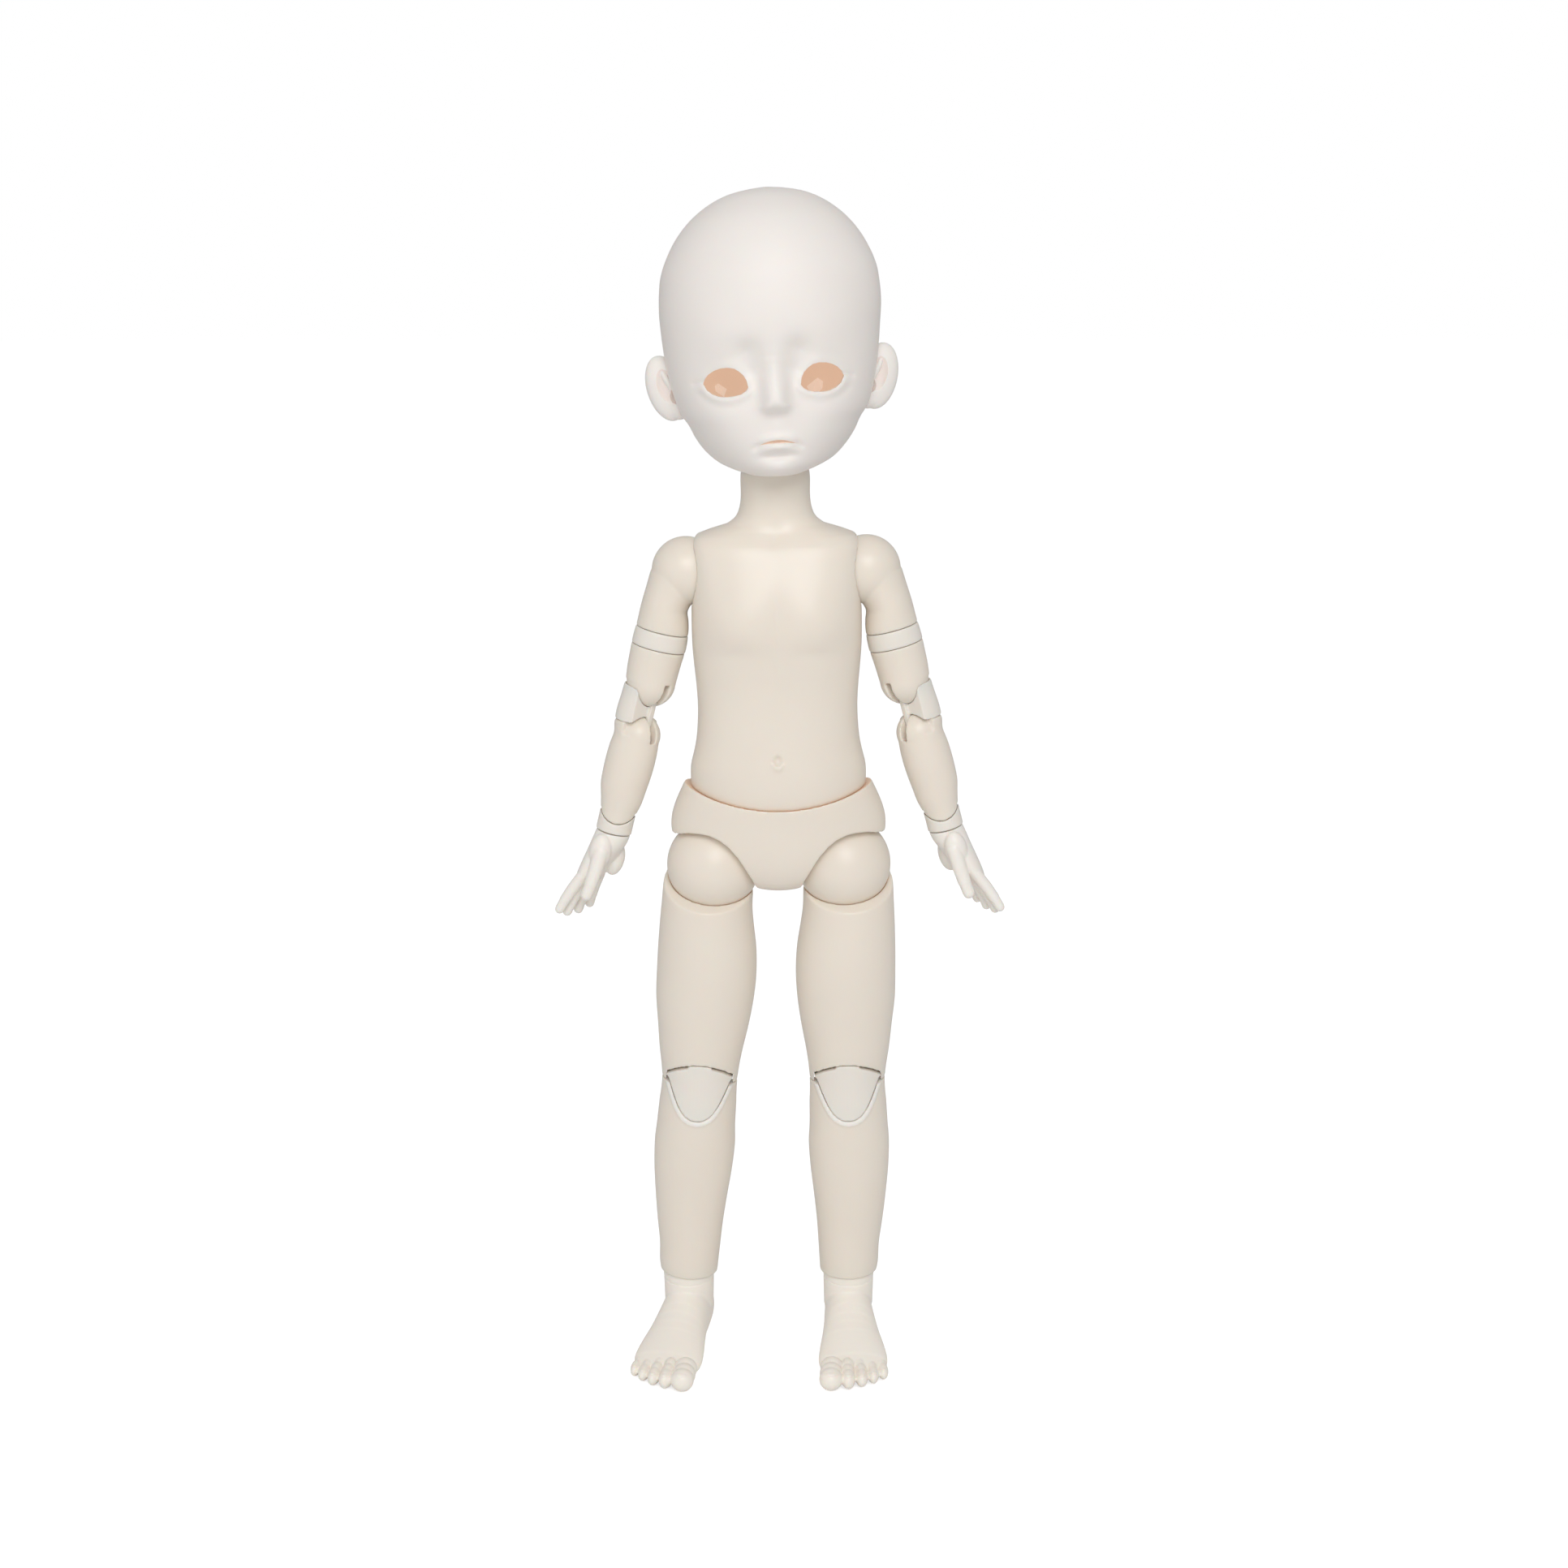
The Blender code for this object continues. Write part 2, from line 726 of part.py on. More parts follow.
# Pelvis, in a front and a back half that close on the joints inside
leg_opening = (
    (crotch_half_width, crotch_height - overrun),
    (crotch_half_width, crotch_height),
    (groin_out, groin_height),
    (brief_out, brief_height),
    (side_out, side_height),
    (pelvis_half_width, flank_height),
    (pelvis_half_width + overrun, flank_height),
    (pelvis_half_width + overrun, crotch_height - overrun),
)
for half_name, facing in (("front", -1), ("back", 1)):
    seam_low = (-pelvis_half_width - overrun, 0, pelvis_foot_height - overrun)
    seam_high = (pelvis_half_width + overrun,
                 facing * (pelvis_half_depth + overrun),
                 pelvis_foot_height + pelvis_rise + overrun)
    steps = [
        (keep, box([min(a, b) for a, b in zip(
            (seam_low[0], facing * gap / 2, seam_low[2]), seam_high)],
            [max(a, b) for a, b in zip(
                (seam_low[0], facing * gap / 2, seam_low[2]), seam_high)])),
        (cut, socket(waist_seat_radius, waist, 28, 20)),
    ]
    for side in (1, -1):
        outline = [(side * across, up) for across, up in leg_opening]
        steps.append((cut, slab(outline, "Y", pelvis_half_depth + overrun)))
        steps.append((cut, socket(hip_radius, (side * hip_out, 0, hip_height),
                                20, 10)))
        steps.append((cut, bore(axle_radius, (0, 0, hip_height),
                               (side * hip_out, 0, hip_height))))
    flange_reach = hip_axle_foot + axle_flange_height + gap
    steps.append((cut, bore(axle_flange_radius,
                           (-flange_reach, 0, hip_height),
                           (flange_reach, 0, hip_height))))
    post_foot = waist_height - waist_post_foot - waist_flange_height
    steps.append((cut, bore(waist_post_radius,
                           (0, 0, post_foot), waist)))
    steps.append((cut, bore(waist_flange_radius, (0, 0, post_foot - gap),
                           (0, 0, post_foot + waist_flange_height + gap))))
    piece("pelvis_" + half_name, loft(pelvis_rows(), 20), stance, 1,
          "body_cream", steps)

# Waist joint: a post that turns, and a ball that bends and leans on it
post_shoulder = waist_height - waist_ball_radius - gap * 2
piece("waist_post", rod(waist_post_radius, (0, 0, post_foot),
                        (0, 0, post_shoulder)), waist_frame, 1, "joint_nylon", [
    (join, rod(waist_flange_radius, (0, 0, post_foot),
               (0, 0, post_foot + waist_flange_height))),
    (join, slab(moved(sweep_outline(waist_post_radius, -90, -90,
                                    waist_ball_radius + gap * 4), 0, waist_height),
                "X", waist_tongue_half - gap / 2)),
    (join, rod(waist_eye_radius, (-waist_tongue_half, 0, waist_height),
               (waist_tongue_half, 0, waist_height))),
    (cut, bore(waist_pin_radius, (-waist_ball_radius, 0, waist_height),
              (waist_ball_radius, 0, waist_height))),
])
tongue_slot = moved(sweep_outline(waist_post_radius + gap, -90 - waist_sway,
                                  -90 + waist_sway, waist_ball_radius + overrun),
                    0, waist_height)
trunnion_tip = waist_ball_radius - waist_trunnion_grip
piece("waist_ball", ball(waist_ball_radius, waist), waist_frame, 1, "joint_nylon", [
    (cut, slab(tongue_slot, "X", waist_tongue_half + gap * 1.4)),
    (cut, bore(waist_eye_radius, (-waist_tongue_half - gap, 0, waist_height),
              (waist_tongue_half + gap, 0, waist_height))),
    (join, rod(waist_pin_radius, (-waist_ball_radius / 2, 0, waist_height),
               (waist_ball_radius / 2, 0, waist_height))),
    (cut, bore(waist_trunnion_radius, (0, trunnion_tip - gap, waist_height),
              (0, waist_ball_radius + overrun, waist_height))),
    (cut, bore(waist_trunnion_radius, (0, -trunnion_tip + gap, waist_height),
              (0, -waist_ball_radius - overrun, waist_height))),
])

# Torso, in a front and a back half
shaft_reach = waist_height - torso_foot_height + overrun
shaft_foot = (waist_post_radius + gap
              + shaft_reach * math.tan(math.radians(waist_sway)))
neck_post_low = neck_height - neck_post_foot
for half_name, facing in (("front", -1), ("back", 1)):
    near = facing * gap / 2
    far = facing * (torso_half_depth + overrun)
    steps = [
        (keep, box((-shoulder_out - overrun, min(near, far), torso_foot_height
                    - overrun),
                   (shoulder_out + overrun, max(near, far), neck_height
                    + neck_radius + overrun))),
        (cut, rod(torso_half_width * 2, (0, 0, torso_foot_height - overrun),
                  (0, 0, waist_height - torso_half_width), 10),
         [(cut, ball(waist_seat_radius, waist, 28, 20))]),
        (cut, socket(waist_ball_radius, waist)),
        (cut, rod(shaft_foot, (0, 0, waist_height - shaft_reach),
                  (0, 0, waist_height), 24, waist_post_radius + gap)),
        (cut, ball(neck_cavity_radius, neck)),
        (cut, rod(neck_mouth_radius, neck,
                  (0, 0, neck_height + neck_radius + overrun), 10)),
        (cut, bore(neck_post_radius, neck, (0, 0, neck_post_low))),
        (cut, bore(neck_flange_radius,
                  (0, 0, neck_post_low - neck_flange_height - gap),
                  (0, 0, neck_post_low + gap))),
    ]
    dishes = []
    for side in (1, -1):
        shoulder = (side * shoulder_out, 0, shoulder_height)
        inner = shoulder_out - shoulder_axle_length
        dishes.append((cut, socket(shoulder_radius, shoulder, 16, 8)))
        dishes.append((cut, bore(axle_radius, shoulder,
                                (side * inner, 0, shoulder_height))))
        dishes.append((cut, bore(axle_flange_radius,
                                (side * (inner + axle_flange_height + gap), 0,
                                 shoulder_height),
                                (side * (inner - gap), 0, shoulder_height))))
    if facing < 0:
        belly = torso_half_depth * torso_shares[2][2]
        steps.append((cut, ball(navel_radius, (0, -belly, navel_height), 12, 8)))
    steps.append((join, rod(
        waist_trunnion_radius, (0, facing * trunnion_tip, waist_height),
        (0, facing * (waist_ball_radius + waist_trunnion_grip), waist_height))))
    piece("torso_" + half_name, loft(torso_rows(), 20), torso_frame, 1,
          "body_cream", dishes + steps)

# Neck joint: a post that turns, a ball that nods, and a hook that tilts
hook_inner = neck_ball_radius + gap
neck_shoulder = neck_height - neck_ball_radius - gap * 2
piece("neck_post", rod(neck_post_radius, (0, 0, neck_post_low
                                         - neck_flange_height),
                       (0, 0, neck_shoulder)), neck_frame, 1,
      "joint_nylon", [
    (join, rod(neck_flange_radius,
               (0, 0, neck_post_low - neck_flange_height),
               (0, 0, neck_post_low))),
    (join, slab(moved(sweep_outline(neck_post_radius, -90, -90,
                                    neck_ball_radius + gap * 4),
                      0, neck_height), "X", neck_tongue_half - gap / 2)),
    (join, rod(neck_eye_radius, (-neck_tongue_half, 0, neck_height),
               (neck_tongue_half, 0, neck_height))),
    (cut, bore(neck_pin_radius, (-neck_ball_radius, 0, neck_height),
              (neck_ball_radius, 0, neck_height))),
])
neck_tip = neck_ball_radius - neck_trunnion_grip
piece("neck_ball", ball(neck_ball_radius, neck), neck_frame, 1, "joint_nylon", [
    (cut, slab(moved(sweep_outline(neck_post_radius + gap, -90 - neck_sway,
                                   -90 + neck_sway, neck_ball_radius + overrun),
                     0, neck_height), "X", neck_tongue_half + gap * 1.4)),
    (cut, bore(neck_eye_radius,
              (-neck_tongue_half - gap, 0, neck_height),
              (neck_tongue_half + gap, 0, neck_height))),
    (join, rod(neck_pin_radius, (-neck_ball_radius / 2, 0, neck_height),
               (neck_ball_radius / 2, 0, neck_height))),
    (cut, bore(neck_trunnion_radius,
              (0, neck_tip - gap, neck_height),
              (0, neck_ball_radius + overrun, neck_height))),
    (cut, bore(neck_trunnion_radius,
              (0, -neck_tip + gap, neck_height),
              (0, -neck_ball_radius - overrun, neck_height))),
])
plate_low = neck_height + head_plate_rise
piece("neck_hook", ball(hook_outer_radius, neck), head_frame, 1, "joint_nylon", [
    (cut, ball(hook_inner, neck)),
    (keep, box((-hook_half_width, -hook_outer_radius * 2,
                neck_height - hook_half_width),
               (hook_half_width, hook_outer_radius * 2,
                neck_height + hook_outer_radius * 2))),
    (join, rod(neck_trunnion_radius, (0, neck_tip, neck_height),
               (0, hook_outer_radius - gap, neck_height))),
    (join, rod(neck_trunnion_radius, (0, -neck_tip, neck_height),
               (0, -hook_outer_radius + gap, neck_height))),
    (join, rod(hook_stem_radius,
               (0, 0, neck_height + hook_inner + gap),
               (0, 0, plate_low + head_plate_height / 2))),
    (join, rod(head_plate_radius, (0, 0, plate_low),
               (0, 0, plate_low + head_plate_height))),
])

# Head: a face and a back cap, hollow, with the eyes open
recess_radius = neck_radius + gap
bowl_radius = recess_radius + bowl_wall
for head_name, facing in (("head_face", -1), ("head_cap", 1)):
    near = head_split_back + facing * gap / 2
    far = facing * (head_half_depth * 2)
    hollow = [(cut, ball(bowl_radius, neck, 16, 10))]
    steps = []
    if facing < 0:
        for side in (1, -1):
            ear = (side * ear_out, ear_back, ear_height)
            steps.append((join, ball(1, ear, 12, 8, (
                ear_half_width, ear_half_depth, ear_half_height))))
            steps.append((cut, ball(1, (side * (ear_out + ear_half_width / 4),
                                        ear_back - ear_half_depth, ear_height),
                                    10, 6, (
                ear_half_width * ear_hollow_share, ear_half_depth,
                ear_half_height * ear_hollow_share))))
    steps.append((cut, head_mesh(head_wall, 16, False), hollow))
    steps.append((cut, ball(recess_radius, neck, 16, 10)))
    steps.append((cut, rod(recess_radius, neck, (0, 0, head_foot_height
                                                - overrun), 32)))
    steps.append((cut, bore(hook_stem_radius, neck,
                           (0, 0, plate_low + overrun))))
    steps.append((cut, bore(head_plate_radius,
                           (0, 0, neck_height + recess_radius
                            + bowl_wall - gap),
                           (0, 0, plate_low + head_plate_height + gap))))
    steps.append((keep, box(
        (-head_half_width * 2, min(near, far), head_foot_height - overrun),
        (head_half_width * 2, max(near, far),
         head_foot_height + head_rise + overrun))))
    if facing < 0:
        for side in (1, -1):
            outline = [(side * eye_out + eye_half_width / eye_half_height * across,
                        eye_height + up)
                       for across, up in around(eye_half_height, 0, 340, 17)]
            steps.append((cut, slab(outline, "Y", head_half_depth / 2,
                                    -head_half_depth)))
    piece(head_name, head_mesh(0, 26, facing < 0), head_frame, 1, "head_white",
          steps)

# Arms and legs, drawn on the left and mirrored to the right
for side, hand_side in ((1, "left"), (-1, "right")):
    # Shoulder: an axle in the torso that ends in a knuckle inside the arm
    shoulder = (side * shoulder_out, 0, shoulder_height)
    swing_frame = joint_frame("joint_" + hand_side + "_shoulder_swing",
                              torso_frame, shoulder, (0, 0, 0), True)
    arm_frame = joint_frame("joint_" + hand_side + "_shoulder_raise",
                            swing_frame, (0, 0, 0),
                            (0, -side * arm_lean[hand_side], 0), True)
    pin_sweep = shoulder_radius * 2
    piece(hand_side + "_shoulder_axle",
          rod(axle_radius, (-shoulder_axle_length, 0, 0), (0, 0, 0)),
          swing_frame, side, "joint_nylon", [
        (join, rod(axle_flange_radius, (-shoulder_axle_length, 0, 0),
                   (axle_flange_height - shoulder_axle_length, 0, 0))),
        (join, rod(knuckle_radius, (0, -knuckle_half, 0), (0, knuckle_half, 0))),
        (cut, bore(knuckle_pin_radius, (0, -pin_sweep, 0),
                  (0, pin_sweep, 0))),
    ])
    band_foot = band_top + band_height
    arm_axis = arm_axis_out
    lean = arm_lean[hand_side]
    piece(hand_side + "_upper_arm", ball(shoulder_radius, (0, 0, 0), 16, 8),
          arm_frame, side, "body_cream", [
        (join, loft(arm_rows(shoulder_radius / 4, band_top - gap), 16)),
        (cut, slab(sweep_outline(axle_radius + gap,
                                 180 - lean - shoulder_raise - swing_margin,
                                 180 - lean + swing_margin,
                                 shoulder_radius + overrun),
                   "Y", axle_radius + gap * 2)),
        (cut, bore(knuckle_radius, (0, -knuckle_half - gap, 0),
                  (0, knuckle_half + gap, 0))),
        (join, rod(knuckle_pin_radius, (0, -shoulder_radius / 2, 0),
                   (0, shoulder_radius / 2, 0))),
        (cut, bore(arm_peg_radius,
                  (arm_axis, 0, -band_top + arm_peg_rise + gap),
                  (arm_axis, 0, -band_top - overrun))),
    ])
    twist_frame = joint_frame("joint_" + hand_side + "_arm_twist", arm_frame,
                              (side * arm_axis, 0, -band_top))
    origins[twist_frame.name] = Vector((arm_axis, 0, -band_top))
    piece(hand_side + "_arm_band", loft(arm_rows(band_top, band_foot), 16),
          twist_frame, side, "link_cream", [
        (join, rod(arm_peg_radius, (arm_axis, 0, -band_top + arm_peg_rise),
                   (arm_axis, 0, -band_foot - arm_peg_drop))),
    ])
    # Elbow: a link with a pin at each end, flexing inward and forward
    upper = (elbow_axis_out, 0, -elbow_upper_drop)
    lower = (elbow_axis_out, 0, -elbow_lower_drop)
    upper_slot = moved(sweep_outline(elbow_plate_upper_radius + gap,
                                     -90 - elbow_flex, -90,
                                     elbow_upper_radius + overrun),
                       elbow_axis_out, -elbow_upper_drop)
    lower_slot = moved(sweep_outline(elbow_plate_lower_radius + gap, 90,
                                     90 + elbow_flex,
                                     elbow_lower_radius + overrun),
                       elbow_axis_out, -elbow_lower_drop)
    pin_reach = elbow_upper_radius - gap * 3
    lower_reach = elbow_lower_radius - gap * 3

    def elbow(mesh):
        return turn_mesh(mesh, elbow_turn, "Z", (elbow_axis_out, 0, 0))

    piece(hand_side + "_mid_arm",
          loft(arm_rows(band_foot + gap, elbow_upper_drop), 16),
          twist_frame, side, "body_cream", [
        (join, ball(elbow_upper_radius, upper, 16, 8)),
        (cut, bore(arm_peg_radius, (arm_axis, 0, -band_foot + overrun),
                  (arm_axis, 0, -band_foot - arm_peg_drop - gap))),
        (cut, elbow(slab(upper_slot, "Y", elbow_plate_half + gap))),
        (cut, elbow(bore(elbow_pin_radius,
                        (elbow_axis_out, -pin_reach - gap, -elbow_upper_drop),
                        (elbow_axis_out, pin_reach + gap,
                         -elbow_upper_drop)))),
    ])
    link_frame = joint_frame("joint_" + hand_side + "_elbow_upper", twist_frame,
                             (0, 0, 0))
    link_frame.location = (side * (elbow_axis_out - arm_axis), 0,
                           band_top - elbow_upper_drop)
    link_frame.rotation_euler = (0, 0, side * math.radians(elbow_turn))
    origins[link_frame.name] = Vector(upper)
    fore_frame = joint_frame("joint_" + hand_side + "_elbow_lower", link_frame,
                             (0, 0, 0))
    fore_frame.location = (0, 0, elbow_upper_drop - elbow_lower_drop)
    fore_frame.rotation_euler = (0, 0, 0)
    origins[fore_frame.name] = Vector(lower)

    def unturn(mesh):
        return turn_mesh(mesh, -elbow_turn, "Z", (elbow_axis_out, 0, 0))

    plate = [(across + elbow_axis_out, up - elbow_upper_drop)
             for across, up in around(elbow_plate_upper_radius, 0, 180, 7)]
    plate += [(across + elbow_axis_out, up - elbow_lower_drop)
              for across, up in around(elbow_plate_lower_radius, 180, 360, 7)]
    elbow_middle = (elbow_upper_drop + elbow_lower_drop) / 2
    cap_half = (elbow_lower_drop - elbow_upper_drop) / 2 - elbow_cap_margin
    piece(hand_side + "_elbow_link",
          unturn(loft(arm_rows(elbow_middle - cap_half, elbow_middle + cap_half),
                      16)),
          link_frame, side, "link_cream", [
        (keep, box((elbow_axis_out + elbow_cap_out, -arm_half_depth - overrun,
                    -elbow_lower_drop - overrun),
                   (elbow_axis_out + arm_half_width + overrun,
                    arm_half_depth + overrun, -elbow_upper_drop + overrun))),
        (cut, socket(elbow_upper_radius, upper, 16, 8)),
        (cut, socket(elbow_lower_radius, lower, 16, 8)),
        (join, slab(plate, "Y", elbow_plate_half)),
        (cut, bore(elbow_pin_radius,
                  (elbow_axis_out, -pin_reach, -elbow_upper_drop),
                  (elbow_axis_out, pin_reach, -elbow_upper_drop))),
        (cut, bore(elbow_pin_radius,
                  (elbow_axis_out, -lower_reach, -elbow_lower_drop),
                  (elbow_axis_out, lower_reach, -elbow_lower_drop))),
    ])
    piece(hand_side + "_elbow_upper_pin",
          rod(elbow_pin_radius, (elbow_axis_out, -pin_reach, -elbow_upper_drop),
              (elbow_axis_out, pin_reach, -elbow_upper_drop)),
          link_frame, side, "pin_steel")
    piece(hand_side + "_elbow_lower_pin",
          rod(elbow_pin_radius, (elbow_axis_out, -lower_reach, -elbow_lower_drop),
              (elbow_axis_out, lower_reach, -elbow_lower_drop)),
          fore_frame, side, "pin_steel")
    # Forearm, rounded at both ends
    wrist = (wrist_out, 0, -wrist_drop)
    wrist_end = wrist_drop + wrist_radius
    wrist_reach = wrist_radius + overrun
    piece(hand_side + "_forearm",
          unturn(loft(arm_rows(elbow_lower_drop, wrist_end), 16)),
          fore_frame, side, "body_cream", [
        (join, unturn(ball(elbow_lower_radius, lower, 16, 8))),
        (cut, unturn(box((wrist_out - wrist_reach, -wrist_reach,
                          -wrist_drop - wrist_reach),
                         (wrist_out + wrist_reach, wrist_reach, -wrist_drop))),
         [(cut, unturn(rod(wrist_radius,
                           (wrist_out, -wrist_reach - overrun, -wrist_drop),
                           (wrist_out, wrist_reach + overrun, -wrist_drop),
                           32)))]),
        (cut, slab(lower_slot, "Y", elbow_plate_half + gap)),
        (cut, bore(elbow_pin_radius,
                  (elbow_axis_out, -lower_reach - gap, -elbow_lower_drop),
                  (elbow_axis_out, lower_reach + gap, -elbow_lower_drop))),
        (cut, unturn(slab(moved(sweep_outline(
            wrist_eye_radius + gap, -90 - wrist_bend, -90 + wrist_bend,
            wrist_reach), wrist_out, -wrist_drop), "Y",
            wrist_tongue_half + gap))),
        (cut, unturn(bore(wrist_pin_radius,
                         (wrist_out, -wrist_eye_radius - gap, -wrist_drop),
                         (wrist_out, wrist_eye_radius + gap, -wrist_drop)))),
    ])
    wrist_frame = joint_frame("joint_" + hand_side + "_wrist_bend", fore_frame,
                              (0, 0, 0))
    turned_out = (wrist_out - elbow_axis_out)
    wrist_frame.location = (
        side * turned_out * math.cos(math.radians(elbow_turn)),
        -turned_out * math.sin(math.radians(elbow_turn)),
        elbow_lower_drop - wrist_drop)
    wrist_frame.rotation_euler = (0, 0, -side * math.radians(elbow_turn))
    origins[wrist_frame.name] = Vector(wrist)
    ring_foot = -wrist_drop - wrist_ring_foot
    ring_rows = [(ring_foot, wrist_out, 0, wrist_ring_radius, wrist_ring_radius,
                  wrist_ring_radius),
                 (-wrist_drop, wrist_out, 0, wrist_ring_radius,
                  wrist_ring_radius, wrist_ring_radius)]
    piece(hand_side + "_wrist_ring", loft(ring_rows, 16), wrist_frame, side,
          "link_cream", [
        (cut, bore(wrist_radius, (wrist_out, -wrist_reach, -wrist_drop),
                  (wrist_out, wrist_reach, -wrist_drop), 32)),
        (join, slab(moved(sweep_outline(wrist_eye_radius, -90, -90,
                                        wrist_radius + gap * 4),
                          wrist_out, -wrist_drop), "Y", wrist_tongue_half)),
        (cut, bore(wrist_pin_radius, (wrist_out, -wrist_reach, -wrist_drop),
                  (wrist_out, wrist_reach, -wrist_drop))),
        (cut, bore(hand_peg_radius, (wrist_out, 0, ring_foot - gap),
                  (wrist_out, 0, ring_foot + hand_peg_length / 2))),
    ])
    piece(hand_side + "_wrist_pin",
          unturn(rod(wrist_pin_radius,
                     (wrist_out, -wrist_eye_radius, -wrist_drop),
                     (wrist_out, wrist_eye_radius, -wrist_drop))),
          fore_frame, side, "pin_steel")
    # Hand, with a peg that turns in the wrist ring
    palm_top = (wrist_out, 0, ring_foot - gap)
    hand_frame = joint_frame("joint_" + hand_side + "_hand_twist", wrist_frame,
                             (0, 0, 0), (0, 0, side * hand_turn[hand_side]), True)
    hand_frame.location = (0, 0, -wrist_ring_foot - gap)
    palm_rows = []
    for drop, shift, thick, wide in palm_shares:
        palm_rows.append((-drop * palm_length, shift * palm_slant, 0,
                          thick * palm_half_thick, wide * palm_half_width,
                          wide * palm_half_width))
    steps = []
    knuckle = Vector((palm_slant * palm_shares[4][1], 0,
                      -palm_length * palm_shares[4][0]))
    for across, long in finger_shares:
        fan = math.radians(finger_spread * across)
        slant = math.radians(finger_slant)
        start = knuckle + Vector((0, across * finger_spacing, 0))
        run = Vector((math.sin(slant), math.sin(fan), -math.cos(slant)))
        steps.append((join, finger(finger_radius, start,
                                   start + run * (long * finger_length))))
    thumb = Vector((-thumb_out, -thumb_front, -thumb_drop))
    steps.append((join, finger(thumb_radius, thumb, thumb + Vector((
        thumb_out, -thumb_out, -thumb_length)), 8)))
    steps.append((join, rod(hand_peg_radius, (0, 0, -thumb_drop),
                            (0, 0, hand_peg_length / 2))))
    piece(hand_side + "_hand", loft(palm_rows, 16), hand_frame, side,
          "body_cream", steps)

    # Hip: an axle in the pelvis that ends in a knuckle inside the hip ball
    hip = (side * hip_out, 0, hip_height)
    hip_frame = joint_frame("joint_" + hand_side + "_hip_swing", stance, hip,
                            (0, 0, 0), True)
    leg_turn = side * (stance_tilt * side - leg_lean[hand_side])
    spread_frame = joint_frame("joint_" + hand_side + "_hip_spread", hip_frame,
                               (0, 0, 0), (0, leg_turn, 0), True)
    axle_foot = hip_axle_foot - hip_out
    hip_reach = hip_radius * 2
    piece(hand_side + "_hip_axle", rod(axle_radius, (axle_foot, 0, 0), (0, 0, 0)),
          hip_frame, side, "joint_nylon", [
        (join, rod(axle_flange_radius, (axle_foot, 0, 0),
                   (axle_foot + axle_flange_height, 0, 0))),
        (join, rod(knuckle_radius, (0, -knuckle_half, 0), (0, knuckle_half, 0))),
        (cut, bore(knuckle_pin_radius, (0, -hip_reach, 0),
                  (0, hip_reach, 0))),
    ])
    lean = leg_lean[hand_side]
    piece(hand_side + "_hip_ball", ball(hip_radius, (0, 0, 0), 20, 10),
          spread_frame, side, "body_cream", [
        (cut, slab(sweep_outline(axle_radius + gap, 180 - lean - hip_spread
                                 - swing_margin, 180 + hip_inward,
                                 hip_radius + overrun), "Y",
                   axle_radius + gap * 2)),
        (cut, bore(knuckle_radius, (0, -knuckle_half - gap, 0),
                  (0, knuckle_half + gap, 0))),
        (join, rod(knuckle_pin_radius, (0, -hip_radius / 2, 0),
                   (0, hip_radius / 2, 0))),
        (join, rod(hip_stem_radius, (0, 0, -hip_radius + overrun / 2),
                   (0, 0, -hip_stem_length))),
    ])
    # Thigh: a cup on the hip ball, and a rounded end over the knee link
    thigh_frame = joint_frame("joint_" + hand_side + "_thigh_twist", spread_frame,
                              (0, 0, 0))
    knee_high = -knee_split_drop + knee_radius + gap / 2
    knee_low = -knee_split_drop - knee_radius - gap / 2
    leg_reach = leg_half_depth + overrun
    rim = turn_mesh(box((-leg_reach, -leg_reach, -thigh_rim_drop),
                        (leg_reach, leg_reach, leg_reach)),
                    thigh_rim_slope, "X", (0, 0, -thigh_rim_drop))
    oval = [(across * (knee_cap_half_width + gap) / knee_cap_half_width,
             up * knee_cap_half_height / knee_cap_half_width)
            for across, up in around(knee_cap_half_width, 0, 180, 12)]
    oval_middle = -knee_split_drop - knee_cap_drop
    arch = moved(oval, 0, oval_middle + gap)
    arch += [(-knee_cap_half_width - gap, oval_middle - overrun),
             (knee_cap_half_width + gap, oval_middle - overrun)]
    bowl = moved([(across, -up) for across, up in oval], 0, oval_middle - gap)
    bowl += [(-knee_cap_half_width - gap, oval_middle + overrun * 2),
             (knee_cap_half_width + gap, oval_middle + overrun * 2)]
    back_high = moved(around(knee_radius, -90, 16, 8)
                      + [(leg_reach, knee_radius / 2), (leg_reach, -leg_reach),
                         (0, -leg_reach)], 0, knee_high)
    back_low = [(first, 2 * knee_low - second) for first, second in moved(
        around(knee_radius, -90, 16, 8)
        + [(leg_reach, knee_radius / 2), (leg_reach, -leg_reach),
           (0, -leg_reach)], 0, knee_low)]
    knee_pin_reach = knee_radius - gap * 3
    piece(hand_side + "_thigh",
          loft(leg_rows(gap, knee_split_drop - gap / 2), 16), thigh_frame, side,
          "body_cream", [
        (cut, socket(hip_radius, (0, 0, 0), 20, 10)),
        (cut, rim),
        (cut, bore(hip_stem_radius, (0, 0, -hip_radius + overrun),
                  (0, 0, -hip_stem_length - gap))),
        (cut, slab(back_high, "X", leg_reach)),
        (cut, slab(arch, "Y", leg_reach / 2, -leg_reach / 2),
         [(cut, rod(knee_radius, (-leg_reach, 0, knee_high),
                    (leg_reach, 0, knee_high), 16))]),
        (cut, slab(moved(sweep_outline(knee_plate_radius + gap, -90,
                                       -90 + knee_flex, leg_reach),
                         0, knee_high), "X", knee_plate_half + gap)),
        (cut, bore(knee_pin_radius, (-knee_pin_reach - gap, 0, knee_high),
                  (knee_pin_reach + gap, 0, knee_high))),
    ])
    link_home = joint_frame("joint_" + hand_side + "_knee_upper", thigh_frame,
                            (0, 0, knee_high))
    shin_frame = joint_frame("joint_" + hand_side + "_knee_lower", link_home,
                             (0, 0, knee_low))
    strap = moved(around(knee_plate_radius, 0, 180, 8), 0, knee_high)
    strap += moved(around(knee_plate_radius, 180, 360, 8), 0, knee_low)
